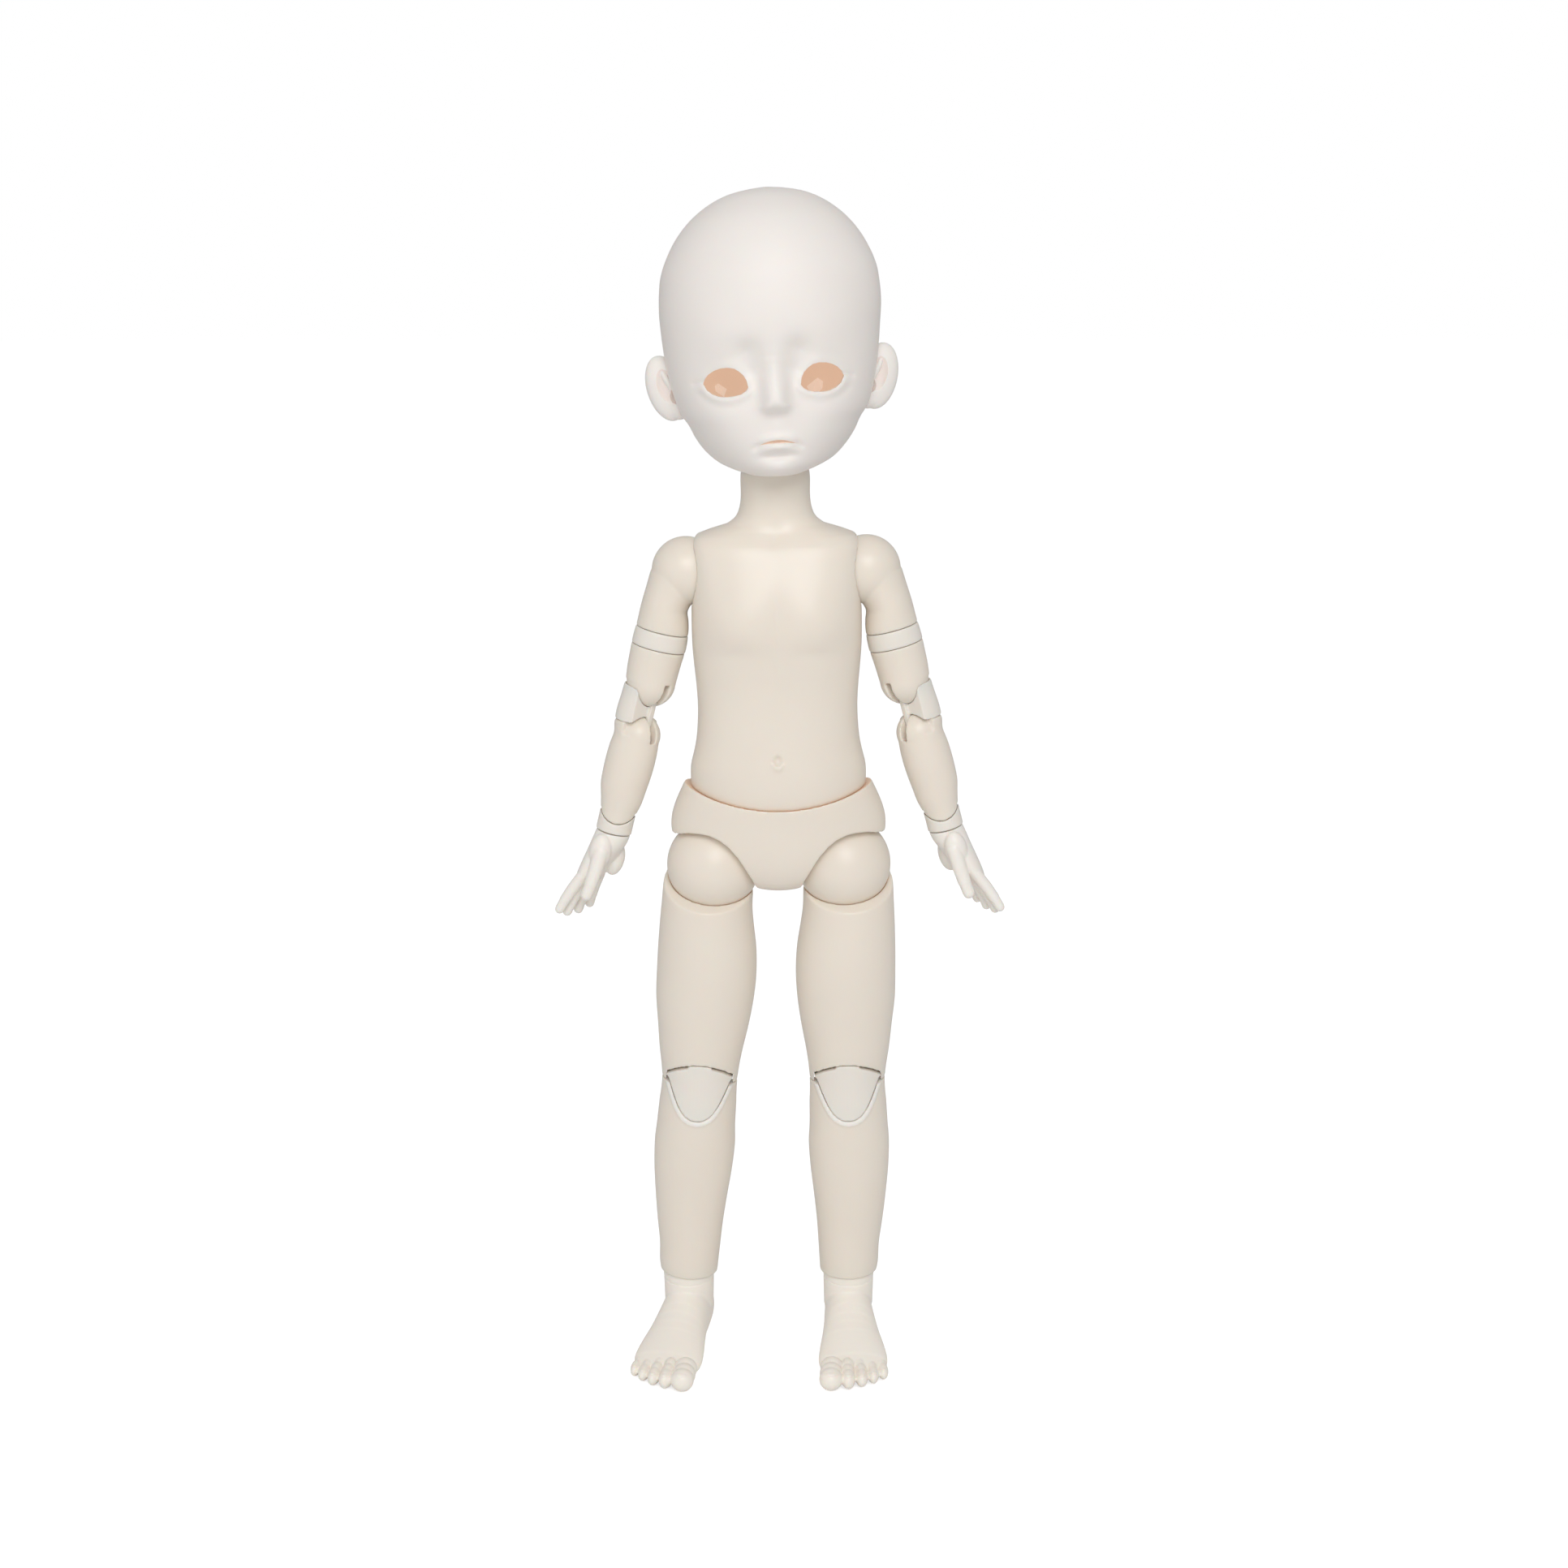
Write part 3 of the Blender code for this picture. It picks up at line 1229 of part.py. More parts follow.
    cap = [(across, up + oval_middle) for across, up in
           [(first, second * knee_cap_half_height / knee_cap_half_width)
            for first, second in around(knee_cap_half_width, 0, 340, 17)]]
    piece(hand_side + "_knee_link",
          loft(leg_rows(knee_split_drop + knee_cap_drop - knee_cap_half_height
                        - gap, knee_split_drop + knee_cap_drop
                        + knee_cap_half_height + gap), 16),
          link_home, side, "link_cream", [
        (keep, slab(cap, "Y", leg_reach / 2, -leg_reach / 2)),
        (cut, bore(knee_radius, (-leg_reach, 0, knee_high),
                  (leg_reach, 0, knee_high), 16)),
        (cut, bore(knee_radius, (-leg_reach, 0, knee_low),
                  (leg_reach, 0, knee_low), 16)),
        (join, slab(strap, "X", knee_plate_half)),
        (cut, bore(knee_pin_radius, (-knee_pin_reach, 0, knee_high),
                  (knee_pin_reach, 0, knee_high))),
        (cut, bore(knee_pin_radius, (-knee_pin_reach, 0, knee_low),
                  (knee_pin_reach, 0, knee_low))),
    ])
    for pin_name, home, height in (("_knee_upper_pin", link_home, knee_high),
                                   ("_knee_lower_pin", shin_frame, knee_low)):
        piece(hand_side + pin_name,
              rod(knee_pin_radius, (-knee_pin_reach, 0, height),
                  (knee_pin_reach, 0, height)), home, side, "pin_steel")
    # Shin, with a cup for the ankle ball
    ankle = (-ankle_in, 0, -ankle_drop)
    post_top = -ankle_drop + ankle_radius + ankle_post_length
    piece(hand_side + "_shin",
          loft(leg_rows(knee_split_drop + gap / 2, ankle_drop - shin_rim_lift),
               16), shin_frame, side, "body_cream", [
        (cut, slab(back_low, "X", leg_reach)),
        (cut, slab(bowl, "Y", leg_reach / 2, -leg_reach / 2),
         [(cut, rod(knee_radius, (-leg_reach, 0, knee_low),
                    (leg_reach, 0, knee_low), 16))]),
        (cut, slab(moved(sweep_outline(knee_plate_radius + gap, 90 - knee_flex,
                                       90, leg_reach), 0, knee_low),
                   "X", knee_plate_half + gap)),
        (cut, bore(knee_pin_radius, (-knee_pin_reach - gap, 0, knee_low),
                  (knee_pin_reach + gap, 0, knee_low))),
        (cut, socket(ankle_radius, ankle, 16, 8)),
        (cut, bore(ankle_post_radius, ankle,
                  (-ankle_in, 0, post_top + gap))),
    ])
    # Ankle: a peg that turns in the shin, and a pin that the foot pitches on
    turn_home = joint_frame("joint_" + hand_side + "_ankle_turn", shin_frame, ankle,
                            (0, 0, 0), True)
    turn_home.location = (-side * ankle_in, 0, -ankle_drop - knee_low)
    turn_home.rotation_euler = (0, 0, side * math.radians(foot_toe_out[hand_side]))
    strip = sweep_outline(ankle_tongue_half, 90, 90, ankle_radius + gap * 4)
    piece(hand_side + "_ankle_peg",
          rod(ankle_post_radius, (0, 0, ankle_radius + gap * 2),
              (0, 0, ankle_radius + ankle_post_length)), turn_home, side,
          "joint_nylon", [
        (join, slab(strip, "X", ankle_tongue_half - gap / 2)),
        (join, rod(ankle_eye_radius, (-ankle_tongue_half, 0, 0),
                   (ankle_tongue_half, 0, 0))),
        (cut, bore(ankle_pin_radius, (-ankle_radius, 0, 0),
                  (ankle_radius, 0, 0))),
    ])
    foot_frame = joint_frame("joint_" + hand_side + "_ankle_pitch", turn_home,
                             (0, 0, 0), (0, 0, 0), True)
    shin_turn = Matrix.Rotation(math.radians(leg_turn - stance_tilt), 3, "Y")
    yaw = Matrix.Rotation(side * math.radians(foot_toe_out[hand_side]), 3, "Z")
    foot_frame.rotation_euler = (
        (shin_turn @ yaw).inverted() @ yaw).to_euler()
    ankle_pin_reach = ankle_radius - gap * 4
    piece(hand_side + "_ankle_pin",
          rod(ankle_pin_radius, (-ankle_pin_reach, 0, 0), (ankle_pin_reach, 0, 0)),
          turn_home, side, "pin_steel")
    # Foot, flat underneath, with five toes
    rows = []
    for along, shift, middle, half, under, over in foot_shares:
        rows.append((along * foot_length, shift * foot_half_width,
                     middle * sole_drop, half * foot_half_width,
                     under * sole_drop, over * sole_drop))
    foot_reach = foot_length + overrun
    steps = [
        (cut, box((-foot_reach, -foot_reach, -instep_drop),
                  (foot_reach, foot_reach, foot_reach))),
        (join, rod(ankle_column_radius, (0, 0, -ankle_column_drop),
                   (0, 0, -instep_drop + gap), 16)),
        (join, ball(ankle_radius, (0, 0, 0), 16, 8)),
    ]
    for across, tip, half, tall in toe_shares:
        toe_half = toe_length_share * foot_length
        steps.append((join, ball(1, (
            across * foot_half_width, -tip * foot_length + toe_half,
            (tall - 1) * sole_drop), 8, 6, (
            half * foot_half_width, toe_half, tall * sole_drop))))
    steps += [
        (cut, box((-foot_reach, -foot_reach, -sole_drop - overrun * 2),
                  (foot_reach, foot_reach, -sole_drop))),
        (cut, slab(sweep_outline(ankle_tongue_half + gap, 90 - ankle_sway,
                                 90 + ankle_sway, ankle_radius + overrun),
                   "X", ankle_tongue_half + gap * 1.4), [], turn_home),
        (cut, bore(ankle_eye_radius, (-ankle_tongue_half - gap, 0, 0),
                  (ankle_tongue_half + gap, 0, 0)), [], turn_home),
        (cut, bore(ankle_pin_radius, (-ankle_pin_reach - gap, 0, 0),
                  (ankle_pin_reach + gap, 0, 0)), [], turn_home),
    ]
    piece(hand_side + "_foot", loft(rows, 16, "Y"), foot_frame, side,
          "foot_cream", steps)

# The origin goes to the middle of the bounding box, on the ground
bpy.context.view_layer.update()
graph = bpy.context.evaluated_depsgraph_get()
low = Vector((math.inf, math.inf, math.inf))
high = -low
for item in doll.objects:
    seen = item.evaluated_get(graph)
    for corner in seen.data.vertices:
        spot = seen.matrix_world @ corner.co
        low = Vector(min(pair) for pair in zip(low, spot))
        high = Vector(max(pair) for pair in zip(high, spot))
stance.location -= Vector(((low.x + high.x) / 2, (low.y + high.y) / 2, low.z))
bpy.context.view_layer.update()
print("pieces", len(doll.objects), "size", tuple(high - low))
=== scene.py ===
import json
import math

import bmesh
import bpy
from mathutils import Matrix, Vector


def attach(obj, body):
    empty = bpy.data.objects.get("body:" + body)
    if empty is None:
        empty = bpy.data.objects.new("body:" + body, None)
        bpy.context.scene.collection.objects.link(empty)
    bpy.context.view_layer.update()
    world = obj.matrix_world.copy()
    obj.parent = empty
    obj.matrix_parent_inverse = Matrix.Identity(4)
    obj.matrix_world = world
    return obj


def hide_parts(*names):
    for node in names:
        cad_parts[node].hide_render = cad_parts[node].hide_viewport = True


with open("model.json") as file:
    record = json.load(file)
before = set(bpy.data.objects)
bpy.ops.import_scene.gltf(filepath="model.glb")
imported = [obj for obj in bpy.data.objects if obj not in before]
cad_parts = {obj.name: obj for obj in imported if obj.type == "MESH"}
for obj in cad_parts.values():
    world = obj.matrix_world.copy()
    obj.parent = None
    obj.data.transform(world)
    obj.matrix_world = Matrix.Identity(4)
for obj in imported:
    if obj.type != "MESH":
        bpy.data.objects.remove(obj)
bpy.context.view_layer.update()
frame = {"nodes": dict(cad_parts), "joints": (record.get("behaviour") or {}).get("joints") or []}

gap = 0.14  # room between pieces that touch
whole = {"voxel": 0.4, "smoothRounds": 3, "sharpAngle": 50}


def clearSelection():
    if bpy.context.object and bpy.context.object.mode != "OBJECT":
        bpy.ops.object.mode_set(mode="OBJECT")
    bpy.ops.object.select_all(action="DESELECT")


def pick(item):
    clearSelection()
    item.select_set(True)
    bpy.context.view_layer.objects.active = item


def useModifier(item, kind, **settings):
    pick(item)
    change = item.modifiers.new(kind.lower(), kind)
    for key, value in settings.items():
        setattr(change, key, value)
    bpy.ops.object.modifier_apply(modifier=change.name)


def carve(item, tool, operation="DIFFERENCE"):
    # Cut faces take the tool's material, or the piece's own where it has none
    if item.data.materials and not tool.data.materials:
        tool.data.materials.append(item.data.materials[0])
    useModifier(item, "BOOLEAN", operation=operation, object=tool,
                solver="MANIFOLD", material_mode="TRANSFER")
    bpy.data.objects.remove(tool, do_unlink=True)


def weld(item, tool):
    carve(item, tool, "UNION")


def addBall(radius, centre=(0, 0, 0), segments=64, shape=(1, 1, 1), turn=(0, 0, 0)):
    clearSelection()
    bpy.ops.mesh.primitive_uv_sphere_add(
        segments=segments, ring_count=segments // 2, radius=radius, location=centre,
        rotation=[math.radians(angle) for angle in turn], scale=shape)
    return bpy.context.object


def addRod(radius, start, end, vertices=64, endRadius=None):
    clearSelection()
    run = Vector(end) - Vector(start)
    bpy.ops.mesh.primitive_cone_add(
        vertices=vertices, radius1=radius,
        radius2=radius if endRadius is None else endRadius, depth=run.length,
        location=Vector(start) + run / 2,
        rotation=run.to_track_quat("Z", "Y").to_euler())
    return bpy.context.object


def addBlock(low, high):
    clearSelection()
    low, high = Vector(low), Vector(high)
    bpy.ops.mesh.primitive_cube_add(size=1, location=(low + high) / 2,
                                    scale=high - low)
    return bpy.context.object


def bake(item):
    # The place goes into the mesh
    pick(item)
    bpy.ops.object.transform_apply(location=True, rotation=True, scale=True)
    return item


def faceOut(item):
    pick(item)
    bpy.ops.object.mode_set(mode="EDIT")
    bpy.ops.mesh.select_all(action="SELECT")
    bpy.ops.mesh.normals_make_consistent(inside=False)
    bpy.ops.object.mode_set(mode="OBJECT")


def turned(item, degrees, axis, centre=(0, 0, 0)):
    bake(item)
    bpy.ops.object.mode_set(mode="EDIT")
    bpy.ops.mesh.select_all(action="SELECT")
    bpy.ops.transform.rotate(value=-math.radians(degrees), orient_axis=axis,
                             center_override=centre)
    bpy.ops.object.mode_set(mode="OBJECT")
    return item


def smoothRows(rows, spacing):
    # Sections between the given ones, on a smooth curve through them
    rows = sorted(list(row) for row in rows)
    fine = []
    for number in range(len(rows) - 1):
        low, high = rows[number], rows[number + 1]
        before = rows[max(number - 1, 0)]
        after = rows[min(number + 2, len(rows) - 1)]
        span = high[0] - low[0]
        steps = max(1, round(span / spacing))
        for step in range(steps):
            part = step / steps
            row = [low[0] + span * part]
            for place in range(1, len(low)):
                leave = (high[place] - before[place]) / (high[0] - before[0]) * span
                reach = (after[place] - low[place]) / (after[0] - low[0]) * span
                row.append((2 * part ** 3 - 3 * part ** 2 + 1) * low[place]
                           + (part ** 3 - 2 * part ** 2 + part) * leave
                           + (3 * part ** 2 - 2 * part ** 3) * high[place]
                           + (part ** 3 - part ** 2) * reach)
            fine.append(row)
    fine.append(list(rows[-1]))
    return fine


def pullFront(item, share):
    # Scales the front half of the selected ring
    mesh = bmesh.from_edit_mesh(item.data)
    ring = [vert for vert in mesh.verts if vert.select]
    for vert in ring:
        vert.select_set(vert.co.y < -0.0001)
    mesh.select_flush_mode()
    bpy.ops.transform.resize(value=(1, share, 1), center_override=(0, 0, 0))
    for vert in ring:
        vert.select_set(True)
    mesh.select_flush_mode()


def growTube(rows, sides, spacing):
    # A row holds height, shift outward, half width, depth in front and behind
    rows = smoothRows(rows, spacing)
    clearSelection()
    bpy.ops.mesh.primitive_circle_add(vertices=sides, radius=1,
                                      location=(0, 0, 0))
    tube = bpy.context.object
    bpy.ops.object.mode_set(mode="EDIT")
    bpy.ops.mesh.select_mode(type="VERT")
    bpy.ops.mesh.select_all(action="SELECT")
    bpy.ops.mesh.edge_face_add()
    last = [0, 0, 1, 1, 1]
    for number, row in enumerate(rows):
        step = (row[1] - last[1], 0, row[0] - last[0])
        if number:
            bpy.ops.mesh.extrude_region_move(
                TRANSFORM_OT_translate={"value": step})
        else:
            bpy.ops.transform.translate(value=step)
        bpy.ops.transform.resize(
            value=(row[2] / last[2], row[4] / last[4], 1),
            center_override=(row[1], 0, row[0]))
        pullFront(tube, row[3] / last[3] / (row[4] / last[4]))
        last = row
    bpy.ops.object.mode_set(mode="OBJECT")
    faceOut(tube)
    return tube


def valueAt(table, spot):
    # A value between the entries of a table of places and values
    for (low, first), (high, second) in zip(table, table[1:]):
        if spot <= high:
            part = max(0, (spot - low) / (high - low))
            return first + (second - first) * part
    return table[-1][1]


def squareOff(item, rows, shares):
    # Makes the elliptical sections boxier, by the share at their height
    bake(item)
    rows = smoothRows(rows, 0.4)
    for vert in item.data.vertices:
        row = min(rows, key=lambda other: abs(other[0] - vert.co.z))
        share = valueAt(shares, vert.co.z)
        reach = row[3] if vert.co.y < 0 else row[4]
        turn = math.atan2(vert.co.y / reach, (vert.co.x - row[1]) / row[2])
        size = math.hypot(vert.co.y / reach, (vert.co.x - row[1]) / row[2])
        across = math.copysign(abs(math.cos(turn)) ** share, math.cos(turn))
        deep = math.copysign(abs(math.sin(turn)) ** share, math.sin(turn))
        vert.co.x = row[1] + row[2] * size * across
        vert.co.y = reach * size * deep


def limbTube(rows, first, last, sides, edge=0, grow=0):
    # A limb between two drops, thicker by grow; an edge rounds its ends over
    table = smoothRows(rows, 0.5)
    heights = [(-last, edge), (-first, edge)]
    if edge:
        heights += [(-last + edge * 0.3, edge * 0.3), (-last + edge, 0),
                    (-first - edge, 0), (-first - edge * 0.3, edge * 0.3)]
    kept = [(row[0], row[1], *[reach + grow for reach in row[2:]]) for row in table
            if -last + edge + 0.4 < row[0] < -first - edge - 0.4]
    for height, inward in heights:
        row = min(table, key=lambda other: abs(other[0] - height))
        kept.append((height, row[1], *[reach + grow - inward for reach in row[2:]]))
    return growTube(kept, sides, 1.2)


def addSlab(outline, axis, half, middle=0):
    # A flat outline, extruded along X or Y to both sides of the middle
    clearSelection()
    bpy.ops.mesh.primitive_circle_add(vertices=len(outline), radius=1)
    item = bpy.context.object
    bpy.ops.object.mode_set(mode="EDIT")
    bpy.ops.mesh.select_all(action="SELECT")
    bpy.ops.mesh.edge_face_add()
    mesh = bmesh.from_edit_mesh(item.data)
    mesh.verts.ensure_lookup_table()
    for vert, (first, second) in zip(mesh.verts, outline):
        vert.co = ((middle - half, first, second) if axis == "X"
                   else (first, middle - half, second))
    bmesh.update_edit_mesh(item.data)
    run = (half * 2, 0, 0) if axis == "X" else (0, half * 2, 0)
    bpy.ops.mesh.extrude_region_move(TRANSFORM_OT_translate={"value": run})
    bpy.ops.object.mode_set(mode="OBJECT")
    faceOut(item)
    return item


def arc(radius, first, last, steps, centre=(0, 0)):
    points = []
    for step in range(steps + 1):
        angle = math.radians(first + (last - first) * step / steps)
        points.append((centre[0] + radius * math.cos(angle),
                       centre[1] + radius * math.sin(angle)))
    return points


def swept(radius, first, last, reach, centre):
    # The room of a strip of this half width that swings from first to last
    points = arc(radius, last + 90, first + 270, 12)
    for angle, side in ((first, first - 90), (last, last + 90)):
        turn, edge = math.radians(angle), math.radians(side)
        points.append((radius * math.cos(edge) + reach * math.cos(turn),
                       radius * math.sin(edge) + reach * math.sin(turn)))
    middle = math.radians((first + last) / 2)
    far = reach / math.cos(math.radians((last - first) / 2))
    points.insert(-1, (far * math.cos(middle), far * math.sin(middle)))
    return [(x + centre[0], y + centre[1]) for x, y in points]


def sculpt(item, move):
    # Moves each point by what the function gives for its place
    bake(item)
    for vert in item.data.vertices:
        vert.co += Vector(move(vert.co))


def bell(value, middle, half):
    return math.exp(-((value - middle) / half) ** 2)


def soften(item, voxel=whole["voxel"], rounds=whole["smoothRounds"]):
    # Even faces and slightly rounded edges, as cast resin has
    bake(item)
    useModifier(item, "REMESH", mode="VOXEL", voxel_size=voxel, adaptivity=0)
    useModifier(item, "SMOOTH", factor=0.5, iterations=rounds)


def paint(item, name):
    item.data.materials.append(materials[name])
    return item


def tint(item, base, other, test):
    # Faces whose middle passes the test take the other material
    slots = item.data.materials
    if not any(slots):
        slots.clear()
        paint(item, base)
        for face in item.data.polygons:
            face.material_index = 0
    if slots.find(other) < 0:
        paint(item, other)
    number = slots.find(other)
    for face in item.data.polygons:
        if test(face.center):
            face.material_index = number


def nearBall(centre, radius, top=400):
    # True on a ball's surface, below the top
    centre = Vector(centre)
    return lambda co: co.z < top and abs((co - centre).length - radius) < 0.14


def place(item, name, matrix, body, nodes, resin="bodyResin", slotName="body_cream"):
    item.name = name
    item.data.name = name
    item.matrix_world = matrix @ Matrix.Scale(0.001, 4)
    bake(item)
    if matrix.determinant() < 0:
        faceOut(item)
    if not any(item.data.materials):
        item.data.materials.clear()
        paint(item, resin)
    bpy.ops.object.shade_smooth_by_angle(angle=math.radians(whole["sharpAngle"]))
    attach(item, body)
    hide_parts(*nodes)


def placePair(item, node, frames, body=None, resin="bodyResin", slotName="body_cream"):
    # The right piece is the left one's mirror image, with its own mesh
    pick(item)
    bpy.ops.object.duplicate()
    twin = bpy.context.object
    name = "".join(word.capitalize() for word in node.split("_"))
    mirrored = frames["right"] @ Matrix.Scale(-1, 4, (1, 0, 0))
    for side, piece, matrix in (("left", item, frames["left"]),
                                ("right", twin, mirrored)):
        place(piece, side + name, matrix, side + "_" + (body or node),
              [side + "_" + node], resin, slotName)


# The joints' places and axes
joints = {joint["name"]: joint for joint in frame["joints"]}
poseValues = {"headLean": -2.7, "toeOut": {"left": 1.0, "right": 11.0},
              "handTurn": {"left": 8.0, "right": 22.0}}


def spot(name):
    return Vector(joints[name]["pos_m"])


def axis(name):
    return Vector(joints[name]["axis"]).normalized()


def frameOf(origin, ahead, up):
    across = ahead.cross(up).normalized()
    ahead = up.cross(across)
    turn = Matrix((across, ahead, up)).transposed().to_4x4()
    return Matrix.Translation(origin) @ turn


def above(height):
    return Matrix.Translation((0, 0, -height * 0.001))


hipLine = (spot("left_hip_swing") - spot("right_hip_swing")).normalized()
hipMiddle = (spot("left_hip_swing") + spot("right_hip_swing")) / 2
ahead = Vector((0, 1, 0))
pelvisFrame = frameOf(hipMiddle, ahead, hipLine.cross(ahead)) @ above(131)
torsoFrame = frameOf(spot("waist_lean"), axis("waist_lean"),
                     axis("head_turn")) @ above(186)
headUp = Matrix.Rotation(math.radians(poseValues["headLean"]), 3,
                         axis("head_tilt")) @ axis("head_turn")
headFrame = frameOf(spot("head_tilt"), axis("head_tilt"), headUp) @ above(230)
armFrames, legFrames, footFrames = {}, {}, {}
for sideName, side in (("left", 1), ("right", -1)):
    armFrames[sideName] = frameOf(
        spot(sideName + "_shoulder_raise"),
        axis(sideName + "_shoulder_raise") * -side,
        axis(sideName + "_arm_twist") * side)
    legFrames[sideName] = frameOf(
        spot(sideName + "_hip_spread"), axis(sideName + "_hip_spread") * -side,
        axis(sideName + "_thigh_twist") * side)
    footFrames[sideName] = Matrix.Translation(
        spot(sideName + "_ankle_pitch")) @ Matrix.Rotation(
            side * math.radians(poseValues["toeOut"][sideName]), 4, "Z")
print("frame ready")

# Camera, where the photograph was taken from
cameraValues = {"place": (0.00114, -0.5581, 0.278), "target": (0.00114, 0, 0.15253),
                "lens": 51.62}
clearSelection()
bpy.ops.object.camera_add(location=cameraValues["place"])
camera = bpy.context.object
camera.rotation_euler = (Vector(cameraValues["target"]) - Vector(
    cameraValues["place"])).to_track_quat("-Z", "Y").to_euler()
camera.data.lens = cameraValues["lens"]
camera.data.sensor_width = 36
camera.data.clip_start = 0.01
bpy.context.scene.camera = camera
bpy.context.scene.view_settings.view_transform = "Standard"

# Materials
resinValues = {
    "bodyResin": {"colour": (0.850, 0.775, 0.680), "roughness": 0.36, "mottle": 0.05},
    "headResin": {"colour": (0.872, 0.832, 0.792), "roughness": 0.52, "mottle": 0.03},
    "linkResin": {"colour": (0.860, 0.805, 0.735), "roughness": 0.38, "mottle": 0.04},
    "footResin": {"colour": (0.970, 0.900, 0.815), "roughness": 0.40, "mottle": 0.05},
    # Paler resin for the hands; on the shin's lip it is a painted highlight
    "paleHandAndLipHighlight": {"colour": (0.930, 0.880, 0.820), "roughness": 0.42, "mottle": 0.03},
    "seamShade": {"colour": (0.760, 0.580, 0.450), "roughness": 0.55, "mottle": 0.05,
                  "glow": 0.10},
    # Seen through the eye holes: the inside of the head glows with painted light, as if lit
    # through the resin shell
    "headInsidePaintedGlow": {"colour": (0.655, 0.530, 0.430), "roughness": 0.60, "mottle": 0.10,
                   "glow": 0.40},
    # Inner facets: a lighter painted highlight with a painted glow
    "headFacetPaintedLight": {"colour": (0.720, 0.640, 0.570), "roughness": 0.60, "mottle": 0.06,
                  "glow": 0.42},
    # The mouth's gap: a painted glow of light through the resin between the lips
    "lipGapPaintedGlow": {"colour": (0.870, 0.720, 0.600), "roughness": 0.55, "mottle": 0.05,
                "glow": 0.10},
    # The ear's hollows: painted pinkish shade
    "earHollowPaintedShade": {"colour": (0.865, 0.785, 0.735), "roughness": 0.60, "mottle": 0.05},
    "jointNylon": {"colour": (0.720, 0.590, 0.480), "roughness": 0.50, "mottle": 0.05},
}
materials = {}


def addNoise(tree, scale, detail, vector):
    noise = tree.nodes.new("ShaderNodeTexNoise")
    noise.inputs["Scale"].default_value = scale
    noise.inputs["Detail"].default_value = detail
    tree.links.new(vector, noise.inputs["Vector"])
    return noise.outputs["Fac"]


def addSum(tree, operation, *values):
    # A math node that takes sockets and fixed numbers
    node = tree.nodes.new("ShaderNodeMath")
    node.operation = operation
    for number, value in enumerate(values):
        if isinstance(value, (int, float)):
            node.inputs[number].default_value = value
        else:
            tree.links.new(value, node.inputs[number])
    return node.outputs[0]


def makeResinGroup():
    group = bpy.data.node_groups.new("resinSurface", "ShaderNodeTree")
    for name, kind in (("Colour", "NodeSocketColor"), ("Mottle", "NodeSocketFloat"),
                       ("Roughness", "NodeSocketFloat")):
        group.interface.new_socket(name=name, in_out="INPUT", socket_type=kind)
    for name, kind in (("Colour", "NodeSocketColor"), ("Roughness", "NodeSocketFloat"),
                       ("Height", "NodeSocketFloat")):
        group.interface.new_socket(name=name, in_out="OUTPUT", socket_type=kind)
    nodes, links = group.nodes, group.links
    takes = nodes.new("NodeGroupInput").outputs
    gives = nodes.new("NodeGroupOutput").inputs
    coordinates = nodes.new("ShaderNodeTexCoord")
    cloud = addNoise(group, 45, 3, coordinates.outputs["Object"])
    grain = addNoise(group, 2600, 2, coordinates.outputs["Object"])
    shift = addSum(group, "MULTIPLY_ADD", cloud, takes["Mottle"], 1)
    dim = addSum(group, "MULTIPLY_ADD", takes["Mottle"], -0.5, shift)
    shade = nodes.new("ShaderNodeHueSaturation")
    links.new(takes["Colour"], shade.inputs["Color"])
    links.new(dim, shade.inputs["Value"])
    links.new(shade.outputs["Color"], gives["Colour"])
    rough = addSum(group, "MULTIPLY_ADD", grain, 0.08, takes["Roughness"])
    links.new(rough, gives["Roughness"])
    links.new(grain, gives["Height"])
    return group


resinGroup = makeResinGroup()
for name, values in resinValues.items():
    material = bpy.data.materials.new(name)
    material.use_nodes = True
    nodes, links = material.node_tree.nodes, material.node_tree.links
    shader = nodes["Principled BSDF"]
    surface = nodes.new("ShaderNodeGroup")
    surface.node_tree = resinGroup
    surface.inputs["Colour"].default_value = (*values["colour"], 1)
    surface.inputs["Mottle"].default_value = values["mottle"]
    surface.inputs["Roughness"].default_value = values["roughness"] - 0.04
    relief = nodes.new("ShaderNodeBump")
    relief.inputs["Strength"].default_value = 0.04
    relief.inputs["Distance"].default_value = 0.0002
    links.new(surface.outputs["Colour"], shader.inputs["Base Color"])
    links.new(surface.outputs["Roughness"], shader.inputs["Roughness"])
    links.new(surface.outputs["Height"], relief.inputs["Height"])
    links.new(relief.outputs["Normal"], shader.inputs["Normal"])
    shader.inputs["IOR"].default_value = 1.46
    shader.inputs["Subsurface Weight"].default_value = 0.2
    shader.inputs["Subsurface Scale"].default_value = 0.003
    shader.inputs["Subsurface Radius"].default_value = (1.0, 0.45, 0.25)
    # A glow paints light into the material: its colour also shines, as emission
    if "glow" in values:
        links.new(surface.outputs["Colour"], shader.inputs["Emission Color"])
        shader.inputs["Emission Strength"].default_value = values["glow"]
    material.diffuse_color = (*values["colour"], 1)
    materials[name] = material

